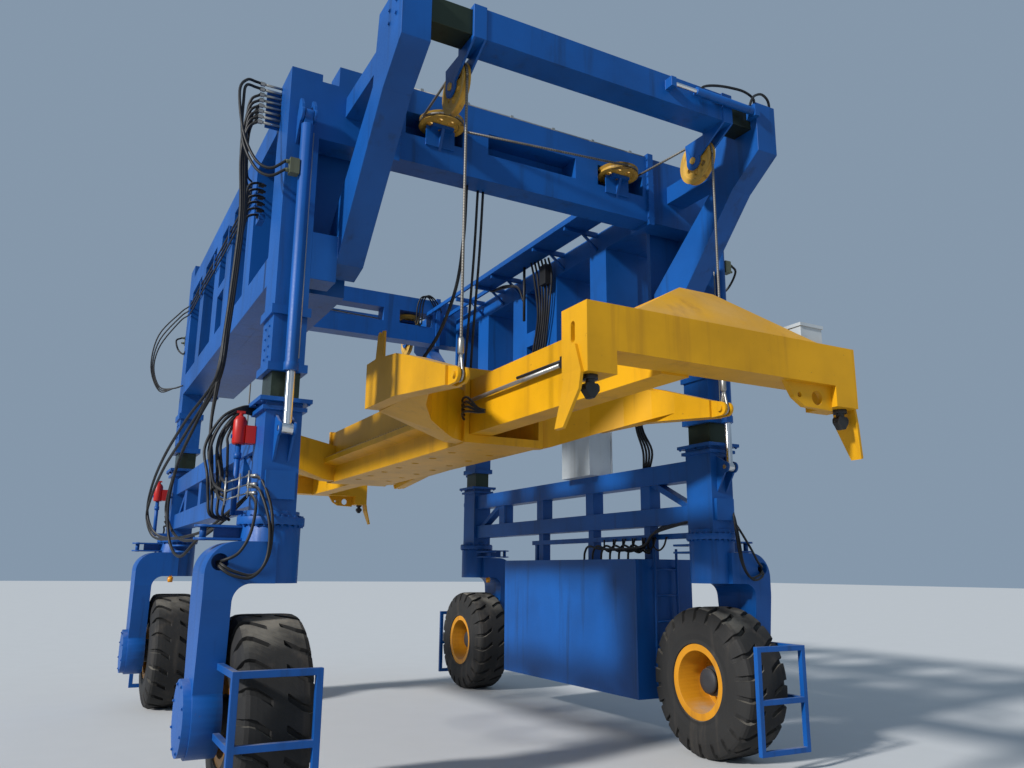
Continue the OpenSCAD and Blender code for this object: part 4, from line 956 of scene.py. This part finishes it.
# %% Side-shift hoses and beam pipes
SADDLES = 6
arm_y = shift_y + 0.2
beam_top = 6.422
SHIFT_LOOPS = (
    [(1.02, arm_y, 6.35), (1.10, arm_y - 0.01, 6.42), (1.26, arm_y - 0.02, 6.48),
     (1.46, arm_y - 0.04, 6.53), (1.65, arm_y - 0.05, 6.55), (1.79, arm_y - 0.07, 6.52),
     (1.80, arm_y - 0.09, 6.43)],
    [(1.66, arm_y, 6.37), (1.70, arm_y, 6.46), (1.78, arm_y - 0.03, 6.54),
     (1.90, arm_y - 0.06, 6.60), (2.01, arm_y - 0.09, 6.58), (2.04, arm_y - 0.11, 6.49),
     (1.985, arm_y - 0.13, 6.38)],
)
for sy in (-1, 1):
    for loop in SHIFT_LOOPS:
        portal_hoses.tube([mirrored(q, 1, sy) for q in spline(loop)], HOSE, 10)
    for dy in (0.015, 0.045):
        y = sy * (beam_face - dy)
        pipes.rod((-JOINT_X + 0.04, y, beam_top), (JOINT_X - 0.04, y, beam_top), 0.009, 8)
    for k in range(SADDLES):
        x = -1.25 + 0.5 * k
        mirror_box(pipes, (x - 0.015, beam_face - 0.06, 6.41), (x + 0.015, beam_face, 6.44), 1, sy)
portal_hoses.make("portal_hoses", hose_black, "portal")
pipes.make("portal_pipes", zinc, "portal")

# %% [markdown]
# ## Hoses under the shelf
# Six hoses drop from the shelf past a dark valve and slant down the inside of the right frame, and
# two bend over to an upright pipe.

# %% Inner hoses
inner = Shape()
for k in range(6):
    x, y = 1.58 + 0.02 * k, -0.30 - 0.06 * k
    path = [(x, y, SHELF_Z), (x + 0.04, y - 0.02, 5.85), (1.72, y + 0.05, 5.35),
            (1.76, y + 0.25, 4.90 - 0.03 * k), (1.802, y + 0.45, 4.45)]
    inner.tube(spline(path), 0.015, 8)
inner.rod((1.58, -0.10, 5.30), (1.58, -0.10, SHELF_Z), 0.02, 10)
inner.box((1.62, -0.62, 5.72), (1.70, -0.46, 6.0))
for k in range(2):
    path = [(1.55, 0.95, SHELF_Z), (1.56, 0.88, 6.03), (1.57, 0.5, 6.0 - 0.03 * k),
            (1.58, 0.1, 5.86), (1.58, -0.08, 5.6)]
    inner.tube(spline(path), 0.015, 8)
inner.make("inner_hoses", hose_black, "portal")

# %% [markdown] ## Hoses from the portal to the base Six hoses hang from the rack as a bundle and
# part lower down: two swing out in wide loops, two in smaller ones, and two go straight to the
# column. A simulated cable would hang truer at one pose, but it couldn't follow the joint.

# %% Lift hoses


def bundle(k):
    """The part of hose k that hangs from the rack with the others."""
    side, back, top = 0.015 * (k % 3) - 0.015, 0.027 * (k // 3), RACK[k]
    return [(-2.70, RACK_Y, top), (-2.78, -2.70, top - 0.08), (-2.80 + side, -2.66 + back, top - 0.35),
            (-2.76 + side, -2.65 + back, 5.0), (-2.77 + side, -2.65 + back, 4.5),
            (-2.80 + side, -2.65 + back, 3.9), (-2.84 + side, -2.66 + back, 3.45)]


def wide_loop(swing):
    return [(-2.99, -2.1, 3.16 - swing), (-3.07, -1.4, 2.92 - swing), (-3.10, -0.75, 2.68 - swing),
            (-3.10, -0.5, 2.42 - swing / 2), (-3.04, -0.75, 2.20 - swing / 3), (-2.94, -1.5, 2.12),
            (-2.78, -2.2, 2.17), (-2.65, -2.58, 2.32), (-2.53, -2.78, 2.46)]


def small_loop(dip):
    return [(-2.93, -2.32, 3.12), (-3.0, -1.92, 2.82), (-3.03, -1.66 + dip, 2.45),
            (-3.0, -1.72 + dip, 2.10 + dip), (-2.93, -1.98 + dip, 1.95 + dip),
            (-2.83, -2.28, 2.10), (-2.68, -2.50, 2.24), (-2.53, -2.66, 2.44)]


def straight_drop(side):
    return [(-2.86, -2.62, 3.05), (-2.85 + side, -2.66, 2.75), (-2.82, -2.76, 2.5),
            (-2.76, -2.92, 2.42)]


LOWER = (wide_loop(0), wide_loop(0.13), small_loop(0), small_loop(0.16),
         straight_drop(0), straight_drop(0.015))
for k, low in enumerate(LOWER):
    hose = Shape().tube(spline(bundle(k) + low, 7), HOSE, 8).make(f"lift_hose_{k}", hose_black)
    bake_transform(hose)

# %% [markdown]
# On the right, four hoses from the power unit go up to the side frame in the same way.

# %% Right hoses
RIGHT_HOSES = 4
for k in range(RIGHT_HOSES):
    x = 2.28 + 0.03 * k
    path = [(x, -1.72, 4.33), (x - 0.01, -1.72, 4.0), (x - 0.05, -1.78, 3.6),
            (x, -1.84 - 0.02 * k, 3.3), (x + 0.02, -1.82, 3.08)]
    hose = Shape().tube(spline(path, 5), 0.014, 8).make(f"right_hose_{k}", hose_black)
    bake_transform(hose)

# %% [markdown]
# ## The pipe holder on the left front column
# Three steel pipes cross the column's corner in a light holder of upright rods, with a union at each
# crossing. Seven hoses come over the column's plate in loose loops and end at them or behind.

# %% Pipe holder and column hoses
PIPE_Z, PIPE_Y, PIPE_R = (2.42, 2.49, 2.56), -3.0, 0.007
UPRIGHTS = ((-2.765, -0.04), (-2.66, 0.0), (-2.59, 0.028))  # x, rise
SLEEVE = [(0.014, 0), (0.014, 0.03), (0.017, 0.032), (0.017, 0.06)]  # radius, height
base_hoses, base_pipes = Shape(), Shape()
for z in PIPE_Z:
    base_pipes.rod((-2.77, PIPE_Y, z - 0.04), (-2.58, PIPE_Y, z + 0.03), PIPE_R, 10)
    base_pipes.turned((-2.58, PIPE_Y, z + 0.028), (1, -0.4, 0), SLEEVE, 10)
for x, rise in UPRIGHTS:
    foot = (x, PIPE_Y - 0.008, PIPE_Z[0] - 0.04 + rise)
    base_pipes.rod(foot, (x, PIPE_Y - 0.008, PIPE_Z[2] + 0.04 + rise), PIPE_R, 8)
    for z in PIPE_Z:
        start = (x - 0.012, PIPE_Y, z + rise)
        base_pipes.turned(start, (1, 0, 0.3), [(0.012, 0), (0.012, 0.024)], 6, False)
base_pipes.rod((-2.60, PIPE_Y, 2.50), (-2.50, -2.98, 2.50), 0.014, 10)
base_pipes.make("base_pipes", zinc, "base")


def column_loop(k):
    """Hose k over the column's plate; each is a little wider and leans its own way."""
    z = PIPE_Z[k % 3]
    out = 0.026 * k + 0.014 * math.sin(2.4 * k)
    lean = 0.05 * math.sin(1.7 * k + 0.6)
    loop = [(-2.52, -2.70, 3.21 - 0.012 * k), (-2.64, -2.74, 3.19 - 0.01 * k),
            (-2.80 + 0.4 * out, -2.74, 3.08 - 0.8 * out), (-2.90 + out, -2.70 + lean, 2.84),
            (-2.88 + out, -2.76 - lean, 2.6)]
    if k % 2:
        return loop + [(-2.84 + 0.4 * out, -2.90, z + 0.01), (-2.77, PIPE_Y, z - 0.04)]
    return loop + [(-2.86 + 0.8 * out, -2.80, 2.42), (-2.84 + 0.6 * out, -2.82, 2.28),
                   (-2.74 + 0.4 * out, -2.76, 2.24)]


for k in range(7):
    base_hoses.tube(spline(column_loop(k)), 0.012, 8)
base_hoses.make("base_hoses", hose_black, "base")

# %% [markdown]
# ## Hoses to the wheels
# Three hoses hang from the column in front of each fork and go in at its hole, for the brake and
# the drive. They reach between base and fork, and are baked in place on neither.

# %% Wheel hoses
HOLE = (-2.79, -3.05, 1.90)
WHEEL_HOSES = (
    [(-2.56, -3.0, 2.58), (-2.50, -3.10, 2.54), (-2.43, -3.21, 2.28), (-2.44, -3.26, 1.97),
     (-2.54, -3.27, 1.81), (-2.69, -3.25, 1.83), (-2.78, -3.20, 1.88), HOLE],
    [(-2.56, -3.0, 2.51), (-2.51, -3.11, 2.45), (-2.45, -3.23, 2.20), (-2.46, -3.27, 1.93),
     (-2.56, -3.28, 1.79), (-2.70, -3.26, 1.80), (-2.79, -3.20, 1.86), HOLE],
    [(-2.56, -3.0, 2.44), (-2.54, -3.12, 2.34), (-2.59, -3.24, 2.12), (-2.67, -3.26, 1.97),
     (-2.77, -3.21, 1.91), HOLE],
)
for k, path in enumerate(WHEEL_HOSES):
    for corner, (sx, sy) in CORNERS.items():
        placed = [mirrored(q, -sx, -sy) for q in spline(path)]
        if corner != "front_left":
            placed[0] = mirrored((-leg_x - 0.15, -3.0, 2.44), -sx, -sy)
        hose = Shape().tube(placed, 0.012, 8).make(f"wheel_hose_{corner}_{k}", hose_black)
        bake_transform(hose)

# %% [markdown]
# ## Cables to the lifting frame
# Three cables hang from the cross beam to the lifting frame. Their ends are a
# metre or more apart in height; they are baked in place and ride on neither body.

# %% Frame cables
CABLES = (
    (0.014, [(-0.51, -2.85, 5.64), (-0.49, -2.75, 5.0), (-0.42, -2.5, 4.3), (-0.36, -2.30, 3.87)]),
    (0.014, [(-0.45, -2.85, 5.64), (-0.43, -2.75, 5.0), (-0.36, -2.5, 4.3), (-0.29, -2.30, 3.87)]),
    (0.018, [(-0.66, -2.90, 5.64), (-0.67, -2.88, 5.1), (-0.70, -2.80, 4.6), (-0.80, -2.65, 4.15),
             (-0.93, -2.45, 3.84)]),
)
for k, (radius, path) in enumerate(CABLES):
    cable = Shape().tube(spline(path), radius, 8).make(f"frame_cable_{k}", hose_black)
    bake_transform(cable)

# %% [markdown]
# ## Fittings on the lifting frame
# A bright guide rod along the frame's left side leads the hose that feeds the telescope, and its
# black sleeve goes out with the telescope, over the rod. Four short hoses bow out of the body, and a
# grey junction box sits on the end beam.

# %% Guide rod, hoses and junction box
GUIDE_R, SLEEVE_R = 0.02, 0.014
guide_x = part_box("frame_body")[0].x + 0.145
guide = Shape().rod((guide_x, -2.42, 3.52), (guide_x, -4.24, 3.52), GUIDE_R, 14)
guide.make("guide_rod", zinc, "lifting_frame")
sleeve = Shape().rod((guide_x, -3.5, 3.56), (guide_x, -4.38, 3.55), SLEEVE_R, 10)
sleeve.box((guide_x - 0.03, -4.36, 3.48), (-0.34, -4.28, 3.58))
sleeve.make("guide_sleeve", hose_black, "front_end")
bows = Shape()
for k in range(4):
    z = 3.34 + 0.045 * k
    path = [(-0.415, -2.44, z), (-0.46, -2.50, z + 0.01), (-0.52, -2.62, z + 0.03),
            (-0.53, -2.76, z + 0.02), (-0.47, -2.86, z - 0.03 * k), (-0.42, -2.92, z - 0.04 * k)]
    bows.tube(spline(path), 0.012, 8)
bows.make("frame_hoses", hose_black, "lifting_frame")
box = Shape().box((0.80, -5.72, 3.52), (1.02, -5.56, 3.68))
box.box((0.79, -5.73, 3.66), (1.03, -5.55, 3.685))
box.make("junction_box", grey, "front_end")

# %% [markdown]
# ## Fire extinguishers
# One stands on a post at each end of the left side, with its red box beside it. The bottle is a
# turned profile and plain, with nothing printed on it. The posts and holders are blue and join the
# other brackets, which are made in the next cell.

# %% Bottles and boxes
BOTTLE = [(0.05, 0), (0.058, 0.015), (0.058, 0.20), (0.04, 0.235), (0.022, 0.245), (0.022, 0.27)]
bottles, brackets = Shape(), Shape()


def extinguisher(x, y, low):
    bottles.turned((x, y, low), (0, 0, 1), BOTTLE, 24)
    bottles.box((x - 0.035, y - 0.02, low + 0.265), (x + 0.035, y + 0.02, low + 0.285))
    bottles.box((x + 0.045, y - 0.06, low + 0.01), (x + 0.125, y + 0.05, low + 0.16))
    brackets.box((x - 0.065, y - 0.015, low + 0.05), (-leg_x - 0.13, y + 0.015, low + 0.08))
    brackets.rod((x, y, 2.28), (x, y, low + 0.002), 0.024, 14)
    brackets.rod((x, y, low - 0.12), (x, y, low - 0.07), 0.032, 14)
    brackets.box((x - 0.02, y - 0.02, 2.28), (-2.51, y + 0.02, 2.32))


extinguisher(-2.645, -2.74, 2.87)
extinguisher(-2.70, 2.74, 2.76)
bottles.make("extinguishers", red, "base")

# %% [markdown]
# ## Brackets and the ladder
# Stiffening plates stand on the columns' ends, and a narrow ladder of round bar goes up the near end
# of the power unit. Its rungs come by a loop over their heights.

# %% Plates and rungs
LADDER_X, RUNGS, RUNG_STEP = (2.24, 2.56), 5, 0.29
for sx in (-1, 1):
    low = (leg_x - 0.12, leg_y + 0.20, 2.40)
    for sy in (-1, 1):
        mirror_box(brackets, low, (leg_x + 0.12, leg_y + 0.2425, 2.63), sx, sy)
ladder_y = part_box("unit_housing")[0].y - 0.06
for x in LADDER_X:
    brackets.rod((x, ladder_y, 0.62), (x, ladder_y, 2.12), 0.016, 12)
    for z in (0.8, 1.9):
        brackets.rod((x, ladder_y, z), (x, ladder_y + 0.07, z), 0.012, 10)
for k in range(RUNGS):
    z = 0.72 + RUNG_STEP * k
    brackets.rod((LADDER_X[0], ladder_y, z), (LADDER_X[1], ladder_y, z), 0.012, 10)
brackets.make("brackets", blue, "base")

# %% [markdown]
# ## Hoses of the power unit
# They come out of the housing's top, run under a rail on three short feet, and go up to the column.
# Six more hang below the rail in small bows.

# %% Power unit hoses and rail
rail = Shape().box((2.30, -2.72, 2.225), (2.38, 0.9, 2.285))
for y in (-1.9, -0.6, 0.8):
    rail.box((2.31, y - 0.03, 2.0), (2.37, y + 0.03, 2.226))
rail.make("pipe_rail", blue, "base")
unit_hoses = Shape()
for k in range(6):
    x, y = 2.16 + 0.022 * k, -0.7 - 0.16 * k
    path = [(x, y, 2.0), (x, y - 0.02, 2.10), (x, y - 0.12, 2.17), (x + 0.01, y - 0.4, 2.13 - 0.012 * k),
            (x + 0.01, -1.90, 2.14 + 0.012 * k), (x + 0.02, -2.14, 2.29 + 0.014 * k),
            (2.235 + 0.024 * k, -2.70, 2.40 + 0.01 * k)]
    unit_hoses.tube(spline(path), 0.014, 8)
    y = -1.0 - 0.2 * k
    hang = [(2.27, y, 2.25), (2.25, y - 0.04, 2.14), (2.26, y - 0.12, 2.10), (2.27, y - 0.2, 2.15),
            (2.28, y - 0.24, 2.25)]
    unit_hoses.tube(spline(hang), 0.011, 8)
unit_hoses.make("unit_hoses", hose_black, "base")

# %% [markdown]
# ## Lamps
# A small amber lamp hangs under each rear fork, in a short holder, and is steered with it.

# %% Amber lamps
LAMP_X, LAMP_Y, LAMP_Z = 2.45, 2.62, 1.66
LAMP = [(0.03, 0), (0.036, 0.03), (0.036, 0.07)]  # radius, height
for side, sx in (("left", -1), ("right", 1)):
    shape = Shape().turned((sx * LAMP_X, LAMP_Y, LAMP_Z), (0, 0, 1), LAMP, 16)
    low = (LAMP_X - 0.02, LAMP_Y - 0.02, LAMP_Z + 0.06)
    mirror_box(shape, low, (LAMP_X + 0.02, LAMP_Y + 0.04, LAMP_Z + 0.09), sx, 1)
    shape.make("amber_lamp_" + side, amber, "fork_rear_" + side)

# %% [markdown]
# ## Camera
# Its place, turn and focal length were solved from straight edges of known length and direction in
# the photograph. The focal length in pixels goes over to millimetres by the sensor's width.

# %% The camera
YAW, PITCH, ROLL = (math.radians(a) for a in (28.41, 12.67, 0.51))
CAMERA_AT = Vector((-3.925, -9.936, 1.853))
FOCAL_PIXELS, PHOTO_WIDTH = 831.0, 1024.0
ahead = Vector((math.sin(YAW) * math.cos(PITCH), math.cos(YAW) * math.cos(PITCH), math.sin(PITCH)))
right = Vector((math.cos(YAW), -math.sin(YAW), 0))
top = right.cross(ahead)
right, top = (right * math.cos(ROLL) + top * math.sin(ROLL),
              top * math.cos(ROLL) - right * math.sin(ROLL))
camera = bpy.data.objects.new("camera", bpy.data.cameras.new("camera"))
scene.collection.objects.link(camera)
camera.matrix_world = Matrix.Translation(CAMERA_AT) @ Matrix((right, top, -ahead)).transposed().to_4x4()
camera.data.sensor_width = 36.0
camera.data.lens = FOCAL_PIXELS / PHOTO_WIDTH * 36.0
camera.data.clip_end = 500
scene.camera = camera
print("focal length", round(camera.data.lens, 2), "mm")

# %% [markdown]
# ## Light
# In the photograph the sun comes from the left, high up, and the sky fills the shadows. A sun lamp,
# a weak large area lamp and an even pale world give the same at a plain level.

# %% Lamps and world


def lamp(name, kind, at, towards, power, size):
    light = bpy.data.lights.new(name, kind)
    light.energy = power
    if kind == "AREA":
        light.size = size
    else:
        light.angle = size
    thing = bpy.data.objects.new(name, light)
    scene.collection.objects.link(thing)
    thing.location = at
    thing.rotation_euler = (Vector(towards) - Vector(at)).to_track_quat("-Z", "Y").to_euler()
    return thing


lamp("key", "SUN", (-9, -2.0, 6.9), (0, 0, 2), 4.0, math.radians(5))
lamp("fill", "AREA", (-2, -17, 6), (0, 0, 3), 40, 9)
world = bpy.data.worlds.new("studio")
world.use_nodes = True
world.node_tree.nodes["Background"].inputs["Color"].default_value = rgb(0.56, 0.74, 0.96)
world.node_tree.nodes["Background"].inputs["Strength"].default_value = 0.42
scene.world = world
print("key, fill and world are set")

# %% [markdown] ## Floor A plain pale floor takes the shadow.

# %% The floor
bpy.ops.mesh.primitive_plane_add(size=240)
floor = bpy.context.object
floor.name = "floor"
floor_material = bpy.data.materials.new("floor")
floor_material.use_nodes = True
t = Tree(floor_material.node_tree)
shader = next(n for n in t.tree.nodes if n.type == "BSDF_PRINCIPLED")
fine = t.noise(t.node("ShaderNodeTexCoord").outputs["Object"], 2.0, 6.0)
pale = t.mix(fine, rgb(0.56, 0.56, 0.55), rgb(0.60, 0.60, 0.59))
t.tree.links.new(pale, shader.inputs["Base Color"])
shader.inputs["Roughness"].default_value = 0.9
floor.data.materials.append(floor_material)
scene.view_settings.view_transform = "Standard"
print("floor is set")

# %% [markdown]
# ## The end of the script
